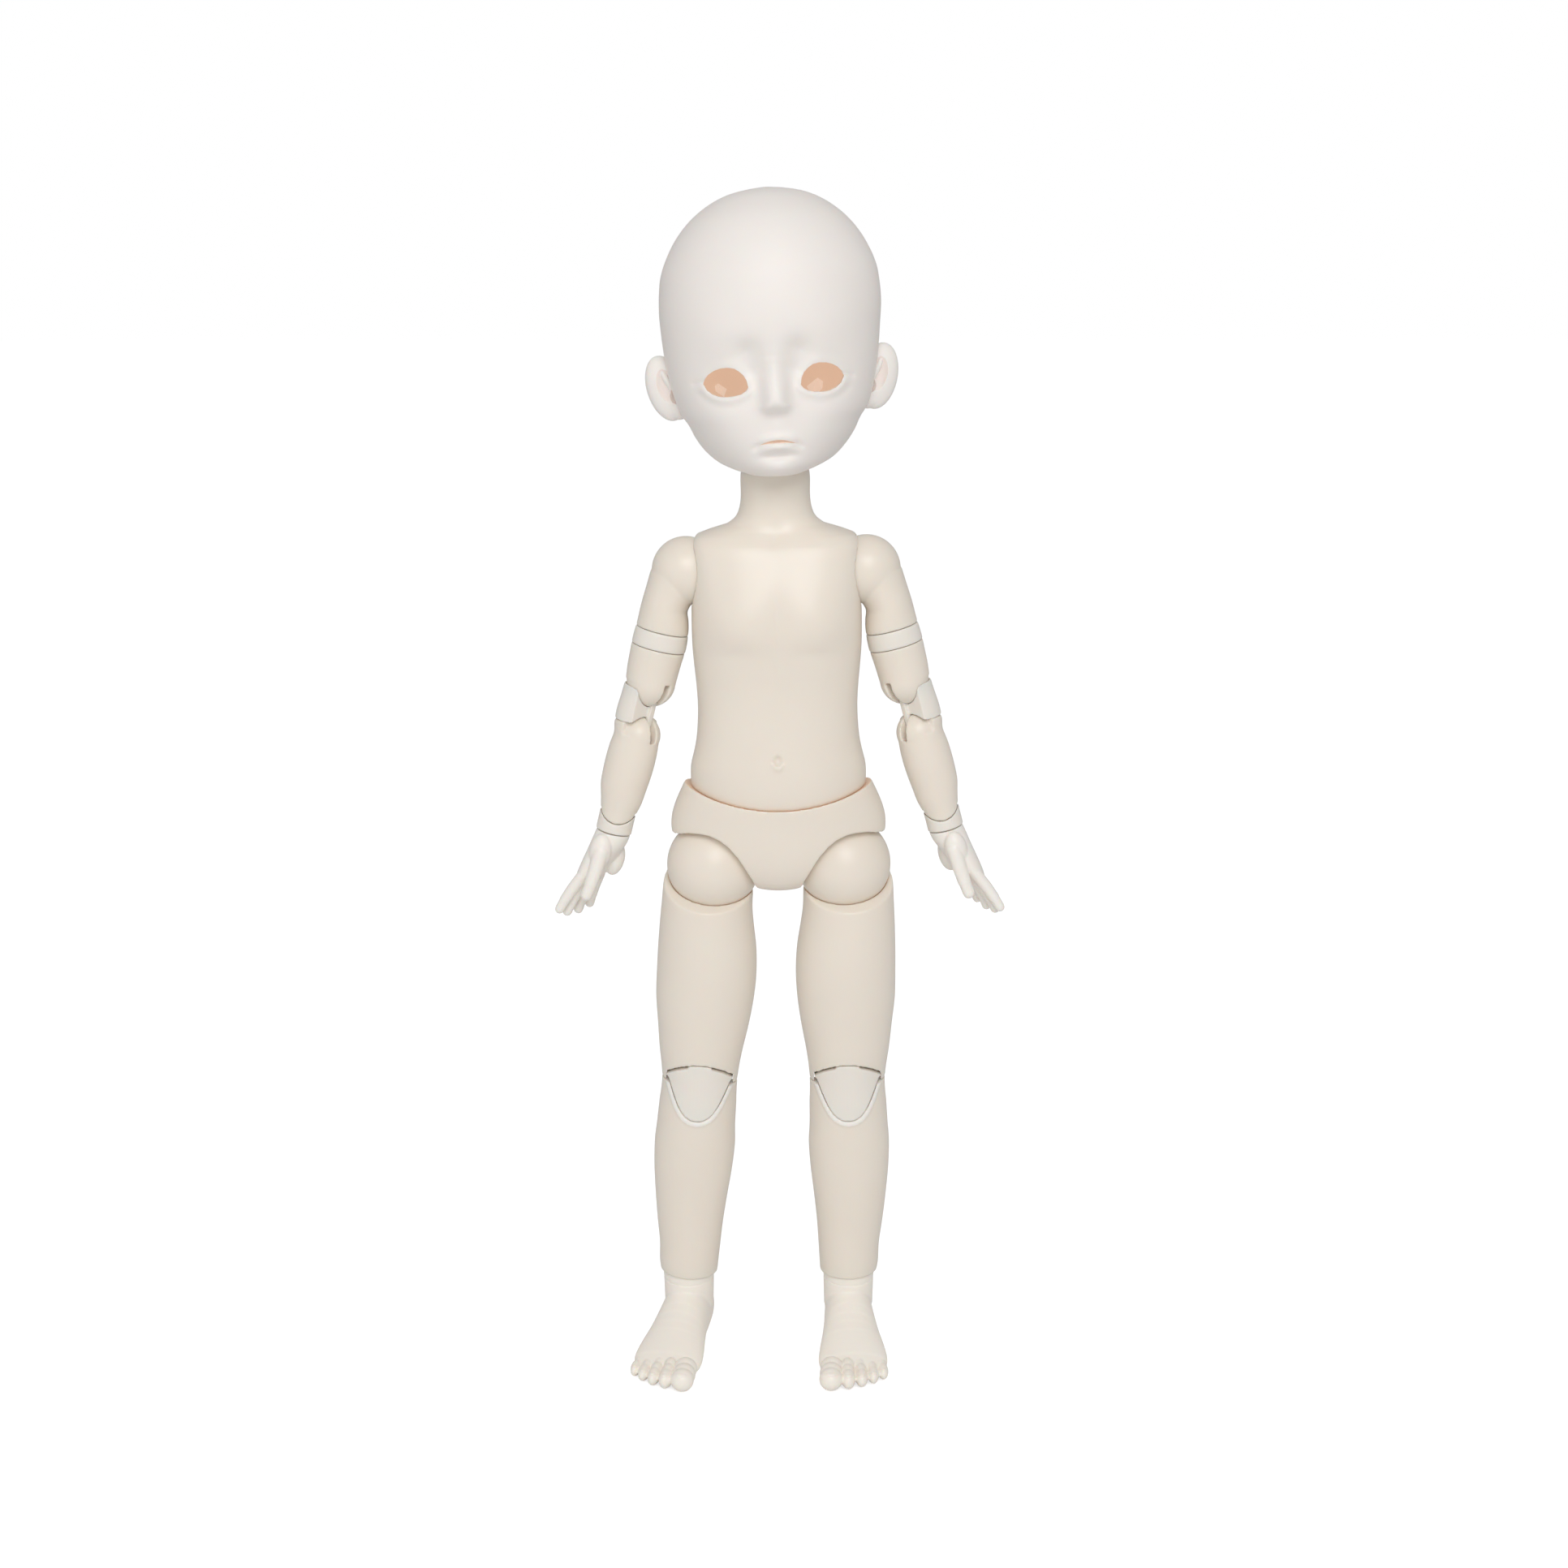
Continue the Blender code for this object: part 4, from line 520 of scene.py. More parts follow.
steel = bpy.data.materials.new("pinSteel")
steel.use_nodes = True
nodes, links = steel.node_tree.nodes, steel.node_tree.links
shader = nodes["Principled BSDF"]
coordinates = nodes.new("ShaderNodeTexCoord")
stretch = nodes.new("ShaderNodeMapping")
stretch.inputs["Scale"].default_value = (1, 12, 1)
links.new(coordinates.outputs["Object"], stretch.inputs["Vector"])
scratches = addNoise(steel.node_tree, 900, 2, stretch.outputs["Vector"])
ramp = nodes.new("ShaderNodeMapRange")
ramp.inputs["To Min"].default_value = 0.22
ramp.inputs["To Max"].default_value = 0.42
links.new(scratches, ramp.inputs["Value"])
links.new(ramp.outputs["Result"], shader.inputs["Roughness"])
shader.inputs["Base Color"].default_value = (0.62, 0.62, 0.64, 1)
shader.inputs["Metallic"].default_value = 1
materials["pinSteel"] = steel

# The pieces inside the joints stay as the frame has them
for name, node in frame["nodes"].items():
    inner = "pinSteel" if name.endswith("_pin") else "jointNylon"
    for materialSlot in node.material_slots:
        materialSlot.material = materials[inner]
print("materials ready")

# Torso
torsoValues = {
    "rows": (
        (143.0, 0, 19.6, 11.8, 11.8), (148.0, 0, 21.6, 13.8, 13.6),
        (152.5, 0, 22.3, 14.6, 14.3), (157.2, 0, 22.3, 14.7, 13.8),
        (160.6, 0, 21.5, 14.4, 13.2), (164.0, 0, 20.8, 14.0, 12.6),
        (168.0, 0, 20.4, 13.6, 12.2), (173.0, 0, 20.25, 13.4, 12.0),
        (178.0, 0, 20.5, 13.7, 12.2), (183.0, 0, 20.95, 14.5, 12.8),
        (187.5, 0, 21.3, 15.4, 13.6), (191.0, 0, 21.4, 16.0, 14.2),
        (195.0, 0, 21.4, 16.2, 14.8), (200.0, 0, 21.3, 15.8, 15.0),
        (205.0, 0, 21.1, 14.8, 14.6), (210.0, 0, 21.0, 13.2, 13.6),
        (213.8, 0, 20.9, 11.6, 12.2), (216.0, 0, 19.8, 10.2, 11.0),
        (217.2, 0, 16.8, 9.4, 10.2), (218.6, 0, 12.2, 8.9, 9.4),
        (220.0, 0, 10.3, 8.7, 9.0), (222.0, 0, 9.2, 8.65, 8.8),
        (225.0, 0, 8.65, 8.65, 8.65), (230.0, 0, 8.65, 8.65, 8.65)),
    "chestRise": 1.3, "chestOut": 10.5, "chestHeight": 195,
    "seatRadius": 40.5, "waistHeight": 186, "neckHeight": 230, "neckRadius": 8.65,
    "shoulder": (22.6, 0, 207), "shoulderRadius": 8.6,
    "navel": (0, -14.6, 160.6), "navelRise": 1.7, "navelHole": 1.25,
    "neckBore": 4.3, "neckPocket": 6.8, "waistPocket": 7.8, "waistBore": 12.5,
    "postBore": 3.3, "voxel": 0.45,
    "roundShares": ((150, 1.0), (163, 0.96), (173, 0.92), (183, 0.88), (191, 0.84),
                    (200, 0.74), (205, 0.66), (210, 0.60), (214, 0.58), (216, 0.66),
                    (217.5, 0.80), (219, 0.92), (221, 1.0), (240, 1.0)),
}


def torsoRelief(co):
    rise = 0
    if co.y < 0:
        front = min(1, -co.y / 9)
        chest = bell(abs(co.x), torsoValues["chestOut"], 8) * bell(
            co.z, torsoValues["chestHeight"], 7)
        crease = bell(abs(co.x), torsoValues["chestOut"], 8) * bell(co.z, 187.5, 2.6)
        rise = front * (torsoValues["chestRise"] * chest - 0.35 * crease)
        rise -= front * 0.5 * bell(co.x, 0, 2.5) * bell(co.z, 192, 12)
        rise += front * 0.3 * bell(abs(co.x), 9, 7) * bell(co.z, 213.0, 3.0)
        rise -= front * 0.4 * bell(co.x, 0, 2.6) * bell(co.z, 216, 2.2)
        rise -= front * 0.3 * bell(co.x, 0, 2.2) * bell(co.z, 172, 9)
    else:
        back = min(1, co.y / 8)
        rise = -back * 0.7 * bell(co.x, 0, 3) * bell(co.z, 182, 20)
        rise += back * 0.6 * bell(abs(co.x), 11, 5) * bell(co.z, 201, 6)
        return (0, rise, 0)
    return (0, -rise, 0)


waistSpot = (0, 0, torsoValues["waistHeight"])
neckSpot = (0, 0, torsoValues["neckHeight"])
seatRadius = torsoValues["seatRadius"]
torso = growTube([
    *torsoValues["rows"],
    *[(neckSpot[2] + up, 0, across, across, across)
      for across, up in arc(torsoValues["neckRadius"], 10, 88, 8)]], 96, 1.0)
squareOff(torso, torsoValues["rows"], torsoValues["roundShares"])
sculpt(torso, torsoRelief)
carve(torso, addBall(seatRadius, waistSpot, 160, (1, 1, 1.6)), "INTERSECT")
lowest = addBlock((-40, -40, 120), (40, 40, waistSpot[2]))
carve(lowest, addBall(seatRadius, waistSpot, 160))
carve(torso, lowest)
for side in (1, -1):
    across, _, height = torsoValues["shoulder"]
    carve(torso, addBall(torsoValues["shoulderRadius"] + gap,
                         (side * across, 0, height), 64))
navel = torsoValues["navel"]
weld(torso, addBall(torsoValues["navelRise"], (0, navel[1] + 1.0, navel[2] - 1.1), 32))
carve(torso, addBall(torsoValues["navelHole"], (0, navel[1] - 0.2, navel[2] + 0.5), 32,
                     (1, 1.2, 1.2)))
carve(torso, addRod(torsoValues["neckBore"], neckSpot, (0, 0, 245)))
carve(torso, addBall(torsoValues["neckPocket"], neckSpot, 48))
carve(torso, addBall(torsoValues["waistPocket"], waistSpot, 48))
carve(torso, addRod(torsoValues["waistBore"], (0, 0, 140), waistSpot, 48,
                    torsoValues["postBore"]))
soften(torso, torsoValues["voxel"])
tint(torso, "bodyResin", "seamShade", nearBall(waistSpot, seatRadius, 165))
place(torso, "torsoShell", torsoFrame, "torso", ["torso_front", "torso_back"])
print("torso ready")

# Pelvis
pelvisValues = {
    "rows": (
        (125.8, 0, 7.0, 8.0, 8.5), (127.0, 0, 11.5, 10.0, 11.0),
        (129.5, 0, 17.5, 11.8, 13.4), (132.5, 0, 22.5, 13.0, 15.2),
        (136.0, 0, 26.0, 13.7, 16.2), (140.0, 0, 27.4, 14.1, 16.6),
        (143.8, 0, 27.4, 14.4, 16.6), (147.2, 0, 26.5, 14.8, 16.2),
        (150.5, 0, 25.1, 15.0, 15.6), (153.0, 0, 23.9, 14.9, 15.1),
        (155.0, 0, 22.9, 14.6, 14.8)),
    "legLine": ((5.6, 119), (5.6, 126.3), (6.7, 129.2), (8.3, 132.2), (10.2, 135.4),
                (12.6, 138.2), (14.9, 139.9), (17.4, 140.9), (20.0, 141.2),
                (23.4, 140.8), (27.4, 139.6), (36.0, 138.8), (36.0, 119)),
    "hip": (16.8, 0, 131), "hipRadius": 12.0,
}
pelvis = growTube(pelvisValues["rows"], 72, 1.0)
carve(pelvis, addBall(seatRadius + gap, waistSpot, 160))
for side in (1, -1):
    outline = [(side * across, height) for across, height in pelvisValues["legLine"]]
    carve(pelvis, addSlab(outline, "Y", 30))
    across, _, height = pelvisValues["hip"]
    carve(pelvis, addBall(pelvisValues["hipRadius"] + gap,
                          (side * across, 0, height), 64))
carve(pelvis, addRod(torsoValues["postBore"], (0, 0, 138.7), waistSpot))
soften(pelvis)
tint(pelvis, "bodyResin", "seamShade", nearBall(waistSpot, seatRadius + gap))
for side in (1, -1):
    across, _, height = pelvisValues["hip"]
    tint(pelvis, "bodyResin", "seamShade", nearBall(
        (side * across, 0, height), pelvisValues["hipRadius"] + gap))
place(pelvis, "pelvisShell", pelvisFrame, "pelvis", ["pelvis_front", "pelvis_back"])
print("pelvis ready")

# Head
headValues = {
    "rows": (
        (231.8, 0.3, 7.6, 18.6, 8.5), (232.9, 0.4, 10.8, 20.0, 10.5),
        (234.7, 0.5, 14.3, 21.0, 12.8), (237.6, 0.5, 17.4, 22.0, 16.0),
        (240.7, 0.6, 19.6, 22.6, 19.0), (243.9, 0.7, 21.2, 23.0, 21.4),
        (247.0, 0.8, 23.2, 23.4, 23.4), (253.0, 0.8, 25.0, 24.0, 26.4),
        (260.0, 0.85, 26.2, 25.0, 28.8), (266.0, 0.95, 26.8, 26.0, 29.8),
        (272.0, 1.15, 27.15, 26.3, 30.0), (278.3, 1.25, 26.65, 25.6, 29.5),
        (281.3, 1.3, 25.9, 24.8, 28.7), (284.4, 1.35, 24.6, 23.6, 27.5),
        (287.5, 1.4, 22.9, 22.0, 25.8), (290.5, 1.45, 20.7, 20.0, 23.5),
        (293.6, 1.5, 17.6, 17.2, 20.4), (296.6, 1.6, 13.2, 13.0, 15.8),
        (298.5, 1.65, 8.6, 8.8, 11.4), (299.4, 1.7, 4.0, 4.4, 5.6),
        (299.7, 1.7, 1.0, 1.2, 1.6)),
    "wall": 2.4, "split": 10.0, "recessRadius": 8.95, "bowlWall": 2.0,
    "hookBore": 2.0, "hookSeat": 5.4,
    "eye": (11.2, 254.6), "shift": 0.5,
    "eyeOutline": (
        (5.6, 0.0), (5.1, 1.2), (4.2, 2.2), (2.9, 3.0), (1.3, 3.5), (-0.4, 3.6),
        (-1.9, 3.3), (-3.0, 2.6), (-4.1, 1.5), (-4.7, 0.3), (-5.0, -1.3), (-4.4, -2.1),
        (-3.3, -2.8), (-1.6, -3.2), (0.3, -3.35), (2.0, -3.2), (3.5, -2.6),
        (4.8, -1.6)),
    "ear": (26.3, 1.5, 253.2), "earShift": 0.7,
    "nose": ((244.5, 0.0), (245.8, 0.15), (246.8, 0.7), (247.8, 2.0), (248.7, 3.1),
             (249.6, 3.6), (250.6, 3.5), (252.2, 2.9), (254.5, 2.1), (256.5, 1.4),
             (258.5, 0.7), (260.5, 0.2), (263.0, 0.0)),
    "noseHalf": ((246.0, 3.4), (248.4, 3.3), (250.0, 3.0), (252.5, 2.9), (257.0, 3.2),
                 (262.0, 3.8)),
    "lip": {"height": 240.35, "drop": 0.038, "half": 4.3},
    "facet": (12.6, 23.5, 252.8),
}


def lineReach(x, z, start, end):
    # The distance to a line between two places
    run = Vector((end[0] - start[0], end[1] - start[1]))
    away = Vector((x - start[0], z - start[1]))
    part = max(0, min(1, away.dot(run) / run.dot(run)))
    return (away - run * part).length


eyeEdge = sorted((math.atan2(second, first), math.hypot(first, second))
                 for first, second in headValues["eyeOutline"])
eyeEdge.append((eyeEdge[0][0] + 2 * math.pi, eyeEdge[0][1]))


def eyeReach(across, up):
    # How far a place lies outside the edge of the eye
    return math.hypot(across, up) - valueAt(eyeEdge, math.atan2(up, across))


def faceRelief(co):
    if co.y > -2:
        return (0, 0, 0)
    x = co.x - headValues["shift"]
    side, height = abs(x), co.z
    facing = min(1, (-co.y - 2) / 10)
    rise = valueAt(headValues["nose"], height) * math.exp(
        -abs(x / valueAt(headValues["noseHalf"], height)) ** 3)
    rise += 0.35 * bell(side, 2.4, 1.1) * bell(height, 248.4, 1.0)
    rise += 0.3 * bell(x, 0, 1.3) * bell(height, 243.8, 1.8)
    lip = headValues["lip"]
    line = lip["height"] - lip["drop"] * side * side
    rise += 0.95 * bell(side, 0, 4.8) * bell(height, line + 0.9, 1.2)
    rise += 1.8 * bell(side, 0, 3.7) * bell(height, line - 1.3, 1.2)
    rise -= 0.4 * bell(side, 0, 5.0) * bell(height, line, 0.5)
    rise -= 0.6 * bell(side, 5.0, 1.3) * bell(height, line - 0.2, 1.3)
    rise -= 0.95 * bell(side, 0, 4.2) * bell(height, 236.8, 0.95)
    rise += 1.2 * bell(side, 0, 4.2) * bell(height, 234.2, 2.0)
    rise += 1.5 * bell(side, 12.5, 7.0) * bell(height, 244.5, 5.5)
    across, up = side - headValues["eye"][0], height - headValues["eye"][1]
    rise -= 0.9 * bell(across, 0, 7.5) * bell(up, 1.4, 5.0)
    if math.hypot(across, up) < 10:
        reach = eyeReach(across, up)
        rise += valueAt(((-2.6, 0.5), (0.4, 0.1)), up) * bell(reach, 0.6, 0.75)
        rise -= valueAt(((-2.0, 0.2), (0.5, 0.05)), up) * bell(reach, 2.4, 0.9)
    rise -= 0.35 * bell(lineReach(side, height, (16.7, 255.0), (18.8, 254.6)), 0, 0.7)
    rise += 0.2 * bell(lineReach(side, height, (16.7, 253.4), (18.8, 252.9)), 0, 0.9)
    rise -= 2.0 * bell(lineReach(side, height, (4.8, 257.6), (6.0, 261.0)), 0, 3.4)
    rise += 0.3 * bell(side, 13.0, 7.0) * bell(height, 267.0, 3.6)
    return (0, -rise * facing, 0)


def headShell(grow):
    rows = [(height, out, max(half + grow, 0.6), max(front + grow, 0.6),
             max(back + grow, 0.6))
            for height, out, half, front, back in headValues["rows"]]
    if grow:
        low, high = 231.2, 299.9
        rows = [(low - grow + (row[0] - low) * (high - low + grow * 2)
                 / (high - low), *row[1:]) for row in rows]
    return rows


def addEar():
    ear = addBall(1, (0, 0, 0), 64, (4.7, 2.9, 8.2))
    weld(ear, addBall(1, (-1.7, -0.2, -5.2), 48, (3.2, 2.4, 3.2)))
    paint(ear, "headResin")
    # The hollows of the ear take painted shade
    carve(ear, paint(addBall(1, (-0.4, -3.9, 0.9), 48, (2.7, 2.3, 5.4)), "earHollowPaintedShade"))
    weld(ear, addBall(1, (-0.9, -1.3, 1.6), 48, (0.9, 1.3, 3.9), (0, 14, 0)))
    carve(ear, paint(addBall(1, (-1.7, -2.9, -2.4), 48, (1.5, 1.9, 2.0)), "earHollowPaintedShade"))
    weld(ear, addBall(1, (-3.0, -1.5, -2.2), 32, (1.0, 1.2, 1.7)))
    bake(ear)
    useModifier(ear, "SMOOTH", factor=0.5, iterations=2)
    return ear


head = growTube(headShell(0), 288, 0.36)
sculpt(head, faceRelief)
paint(head, "headResin")
lip = headValues["lip"]
mouth = []
for edge, thick in ((1, 0.38), (-1, 0.32)):
    for step in range(-12, 13):
        across = edge * step * lip["half"] / 12
        line = lip["height"] - lip["drop"] * across * across
        share = 1 - (across / lip["half"]) ** 2
        mouth.append((across + headValues["shift"],
                      line + edge * (0.01 + thick * share)))
# The mouth's cut takes a painted glow, light through the resin between the lips
mouthCut = addSlab(mouth, "Y", 4, -26.6)
sculpt(mouthCut, lambda co: (0, 0.045 * (co.x - headValues["shift"]) ** 2, 0))
carve(head, paint(mouthCut, "lipGapPaintedGlow"))
for side in (1, -1):
    across, back, height = headValues["ear"]
    ear = addEar()
    across = side * across + headValues["earShift"]
    ear.location = (across, back, height)
    ear.scale = (side, 1, 1)
    turned(ear, side * 14, "Y", (across, back, height))
    if side < 0:
        faceOut(ear)
    weld(head, ear)
# The inside of the head takes a painted glow that stands in for light through the shell
hollow = paint(growTube(headShell(-headValues["wall"]), 96, 1.5), "headInsidePaintedGlow")
# Facets on the inner wall, painted lighter as a highlight and glowing
for side in (1, -1):
    across, back, height = headValues["facet"]
    facet = addRod(9.0, (side * across, back + 4, height - 9),
                   (side * across, back - 7, height), 5, 0.2)
    carve(hollow, paint(facet, "headFacetPaintedLight"))
recess = headValues["recessRadius"]
carve(hollow, addBall(recess + headValues["bowlWall"], neckSpot, 64))
carve(head, hollow)
carve(head, addBall(recess, neckSpot, 64))
carve(head, addRod(recess, (0, 0, 215), neckSpot))
carve(head, addRod(headValues["hookBore"], neckSpot, (0, 0, 246)))
carve(head, addRod(headValues["hookSeat"], (0, 0, 240.6), (0, 0, 243.3)))
for side in (1, -1):
    eyeAcross, eyeUp = headValues["eye"]
    outline = [(side * (eyeAcross + across) + headValues["shift"], eyeUp + up)
               for across, up in headValues["eyeOutline"]]
    carve(head, addSlab(outline, "Y", 13, -23))
pick(head)
bpy.ops.object.duplicate()
cap = bpy.context.object
carve(head, addBlock((-60, headValues["split"] - gap / 2, 200), (60, 60, 320)))
carve(cap, addBlock((-60, -60, 200), (60, headValues["split"] + gap / 2, 320)))
place(head, "headFace", headFrame, "head", ["head_face"], "headResin", "head_white")
place(cap, "headCap", headFrame, "head_back", ["head_cap"], "headResin", "head_white")
print("head ready")

# The axles that hold shoulders and hips, each with a pin across the ball
axleValues = {"slotHalf": 2.4, "reachHalf": 2.1, "bore": 3.5, "pinRadius": 1.1}


def cutAxleRoom(ball, first, last, reach, pinHalf):
    # The room in which the axle swings from first to last, and its pin
    half, slot = axleValues["reachHalf"], axleValues["slotHalf"]
    carve(ball, addSlab(swept(half, first, last, reach, (0, 0)), "Y", slot))
    carve(ball, addRod(axleValues["bore"], (0, -half, 0), (0, half, 0)))
    weld(ball, addRod(axleValues["pinRadius"], (0, -pinHalf, 0), (0, pinHalf, 0)))


# Arms, down from the shoulder's centre
armValues = {
    "rows": (
        (-1.0, 1.0, 7.6, 8.0), (-5.4, 2.2, 6.6, 7.3), (-9.8, 3.15, 5.9, 7.0),
        (-12.3, 2.8, 6.3, 6.9), (-14.9, 2.5, 6.6, 6.8), (-19.3, 2.4, 6.9, 6.7),
        (-23.0, 2.47, 6.72, 6.5), (-26.6, 2.5, 6.55, 6.3), (-30.0, 2.4, 6.35, 6.15),
        (-33.8, 2.5, 6.4, 5.9), (-37.9, 2.7, 6.5, 5.8), (-41.5, 2.8, 6.3, 5.6),
        (-44.3, 2.7, 5.9, 5.5), (-47.6, 2.8, 6.2, 5.8), (-51.2, 2.9, 6.3, 6.0),
        (-54.3, 3.0, 6.2, 5.9), (-58.0, 3.1, 5.9, 5.5), (-61.4, 2.9, 5.3, 5.0),
        (-64.5, 3.0, 4.6, 4.5), (-67.6, 3.1, 4.2, 4.2)),
    "bandTop": 16.2, "bandHeight": 4.4, "pegOut": 2.4, "pegRadius": 2.0,
    "pegBore": 2.3, "voxel": 0.34, "linkVoxel": 0.2, "ringVoxel": 0.22,
    "elbowOut": 2.2, "elbowUpper": 29.8, "elbowLower": 43.8, "upperRadius": 6.2,
    "lowerRadius": 5.5, "elbowTurn": 43, "plateHalf": 0.75, "plateUpper": 3.1,
    "plateLower": 2.7, "slotGap": 0.15, "capOut": -2.0, "domeRadius": 9.6,
    "capFoot": 3.3,
    "wrist": (3.0, 61.8), "wristRadius": 5.2, "ringRadius": 4.6, "ringFoot": 7.9,
}


def armTube(first, last, sides=48, edge=0):
    rows = [(*row, row[3]) for row in armValues["rows"]]
    return limbTube(rows, first, last, sides, edge)


bandFoot = armValues["bandTop"] + armValues["bandHeight"]
upperArm = addBall(torsoValues["shoulderRadius"], (0, 0, 0), 96)
weld(upperArm, armTube(2, armValues["bandTop"] - gap))
cutAxleRoom(upperArm, 110, 170, 16, 4)
pegOut, pegBore = armValues["pegOut"], armValues["pegBore"]
carve(upperArm, addRod(pegBore, (pegOut, 0, -10), (pegOut, 0, -20)))
soften(upperArm, armValues["voxel"])
placePair(upperArm, "upper_arm", armFrames)
band = armTube(armValues["bandTop"], bandFoot, 64, 0.35)
weld(band, addRod(armValues["pegRadius"], (pegOut, 0, -10.7), (pegOut, 0, -23.4)))
placePair(band, "arm_band", armFrames, "mid_arm", "linkResin", "link_cream")
elbowOut = armValues["elbowOut"]


def elbowWise(item):
    # Turned to the plane in which the elbow bends
    return turned(item, armValues["elbowTurn"], "Z", (elbowOut, 0, 0))


upperSpot = (elbowOut, 0, -armValues["elbowUpper"])
lowerSpot = (elbowOut, 0, -armValues["elbowLower"])
midArm = armTube(bandFoot + gap, armValues["elbowUpper"])
weld(midArm, addBall(armValues["upperRadius"], upperSpot, 64))
carve(midArm, addRod(pegBore, (pegOut, 0, -15), (pegOut, 0, -23.7)))
slotHalf = armValues["plateHalf"] + armValues["slotGap"]
slot = addSlab(swept(armValues["plateUpper"] + armValues["slotGap"], -155, -90, 14,
                     (elbowOut, upperSpot[2])), "Y", slotHalf)
carve(midArm, elbowWise(slot))
soften(midArm, armValues["voxel"])
placePair(midArm, "mid_arm", armFrames)
link = armTube(armValues["elbowUpper"] + 1.4,
               armValues["elbowLower"] - armValues["capFoot"])
keepBlock = addBlock((elbowOut + armValues["capOut"], -12, -50),
                     (elbowOut + 14, 12, -20))
carve(link, elbowWise(keepBlock), "INTERSECT")
carve(link, addBlock((elbowOut - 14, -12, -50), (elbowOut - 1.0, 12, -20)))
carve(link, addBall(armValues["upperRadius"] + gap, upperSpot, 64))
carve(link, addBall(armValues["lowerRadius"] + gap, lowerSpot, 64))
domeFoot = lowerSpot[2] + armValues["lowerRadius"] - armValues["domeRadius"]
carve(link, addBall(armValues["domeRadius"] + gap, (elbowOut, 0, domeFoot), 96))
plate = arc(armValues["plateUpper"], 0, 180, 24, (elbowOut, upperSpot[2]))
plate += arc(armValues["plateLower"], 180, 360, 24, (elbowOut, lowerSpot[2]))
weld(link, elbowWise(addSlab(plate, "Y", armValues["plateHalf"])))
soften(link, armValues["linkVoxel"])
placePair(link, "elbow_link", armFrames, "elbow", "linkResin", "link_cream")
wristOut, wristDrop = armValues["wrist"]
forearm = armTube(armValues["elbowLower"], wristDrop + 5.2)
weld(forearm, addBall(armValues["lowerRadius"], lowerSpot, 64))
dome = armTube(armValues["elbowLower"] - 5.5, armValues["elbowLower"])
carve(dome, addBall(armValues["domeRadius"], (elbowOut, 0, domeFoot), 96), "INTERSECT")
outerBlock = addBlock((elbowOut, -12, -50), (elbowOut + 14, 12, -30))
carve(dome, elbowWise(outerBlock), "INTERSECT")
weld(forearm, dome)
under = addBlock((wristOut - 12, -12, -wristDrop - 12), (wristOut + 12, 12, -wristDrop))
carve(under, addRod(armValues["wristRadius"], (wristOut, -20, -wristDrop),
                    (wristOut, 20, -wristDrop), 96))
carve(forearm, under)
slot = addSlab(swept(armValues["plateLower"] + armValues["slotGap"], 90, 155, 14,
                     (elbowOut, lowerSpot[2])), "Y", slotHalf)
carve(forearm, elbowWise(slot))
carve(forearm, addSlab(swept(2.7, -120, -60, 12, (wristOut, -wristDrop)), "Y", 1.3))
soften(forearm, armValues["voxel"])
placePair(forearm, "forearm", armFrames)
ringFoot = -wristDrop - armValues["ringFoot"]
ring = addRod(armValues["ringRadius"], (wristOut, 0, ringFoot),
              (wristOut, 0, -wristDrop), 64)
carve(ring, addRod(armValues["wristRadius"] + gap, (wristOut, -12, -wristDrop),
                   (wristOut, 12, -wristDrop), 96))
weld(ring, addSlab(swept(2.4, -90, -90, 6.4, (wristOut, -wristDrop)), "Y", 1.0))
carve(ring, addRod(axleValues["pinRadius"], (wristOut, -8, -wristDrop),
                   (wristOut, 8, -wristDrop), 32))
soften(ring, armValues["ringVoxel"])
placePair(ring, "wrist_ring", armFrames, "wrist", "linkResin", "link_cream")
print("arms ready")

# Hand
handValues = {
    "palm": ((0.0, 0.0, 4.4, 4.4), (-2.0, 0.35, 4.4, 4.6), (-5.0, 1.2, 4.0, 5.3),
             (-9.0, 2.5, 3.4, 5.8), (-13.0, 3.7, 2.8, 5.8), (-15.0, 4.4, 2.1, 5.4)),
    "fingers": ((-4.35, 10.6, -3.6, 24), (-1.45, 11.4, -1.0, 20), (1.45, 10.6, 1.6, 15),
                (4.2, 8.8, 4.2, 10)),
    "radius": 1.6, "thumbRadius": 1.95, "voxel": 0.24,
}


def addFinger(radius, start, direction, length, curl):
    # Three bones and a rounded tip, each a little more bent
    finger = None
    place = Vector(start)
    for share, thick in ((0.42, 1.0), (0.32, 0.93), (0.26, 0.82)):
        end = place + direction * length * share
        bone = addRod(radius * thick, place, end, 24, radius * thick * 0.94)
        weld(bone, addBall(radius * thick, place, 24))
        weld(bone, addBall(radius * thick * 0.93, end, 24))
        if finger is None:
            finger = bone
        else:
            weld(finger, bone)
        place = end
        direction = (Matrix.Rotation(math.radians(curl), 3, "Y") @ direction)
    return finger


hand = growTube([(*row, row[3]) for row in handValues["palm"]], 48, 1.0)
for across, length, fan, slant in handValues["fingers"]:
    slant = math.radians(slant)
    direction = Vector((math.sin(slant), math.sin(math.radians(fan)), -math.cos(slant)))
    weld(hand, addFinger(handValues["radius"], (3.5 - 0.1 * across, across, -13.0),
                         direction, length, 4))
weld(hand, addFinger(handValues["thumbRadius"], (-0.2, -5.4, -4.6),
                     Vector((0.03, -0.10, -0.99)), 12.0, -2))
weld(hand, addBall(1, (0.5, -4.3, -5.0), 32, (2.9, 2.6, 4.8), (8, 0, 0)))
weld(hand, addBall(1, (-0.6, 3.4, -7.6), 32, (2.6, 2.6, 4.6)))
soften(hand, handValues["voxel"], 4)
weld(hand, addRod(1.3, (0, 0, -4), (0, 0, 2.2), 32))
handFrames = {}
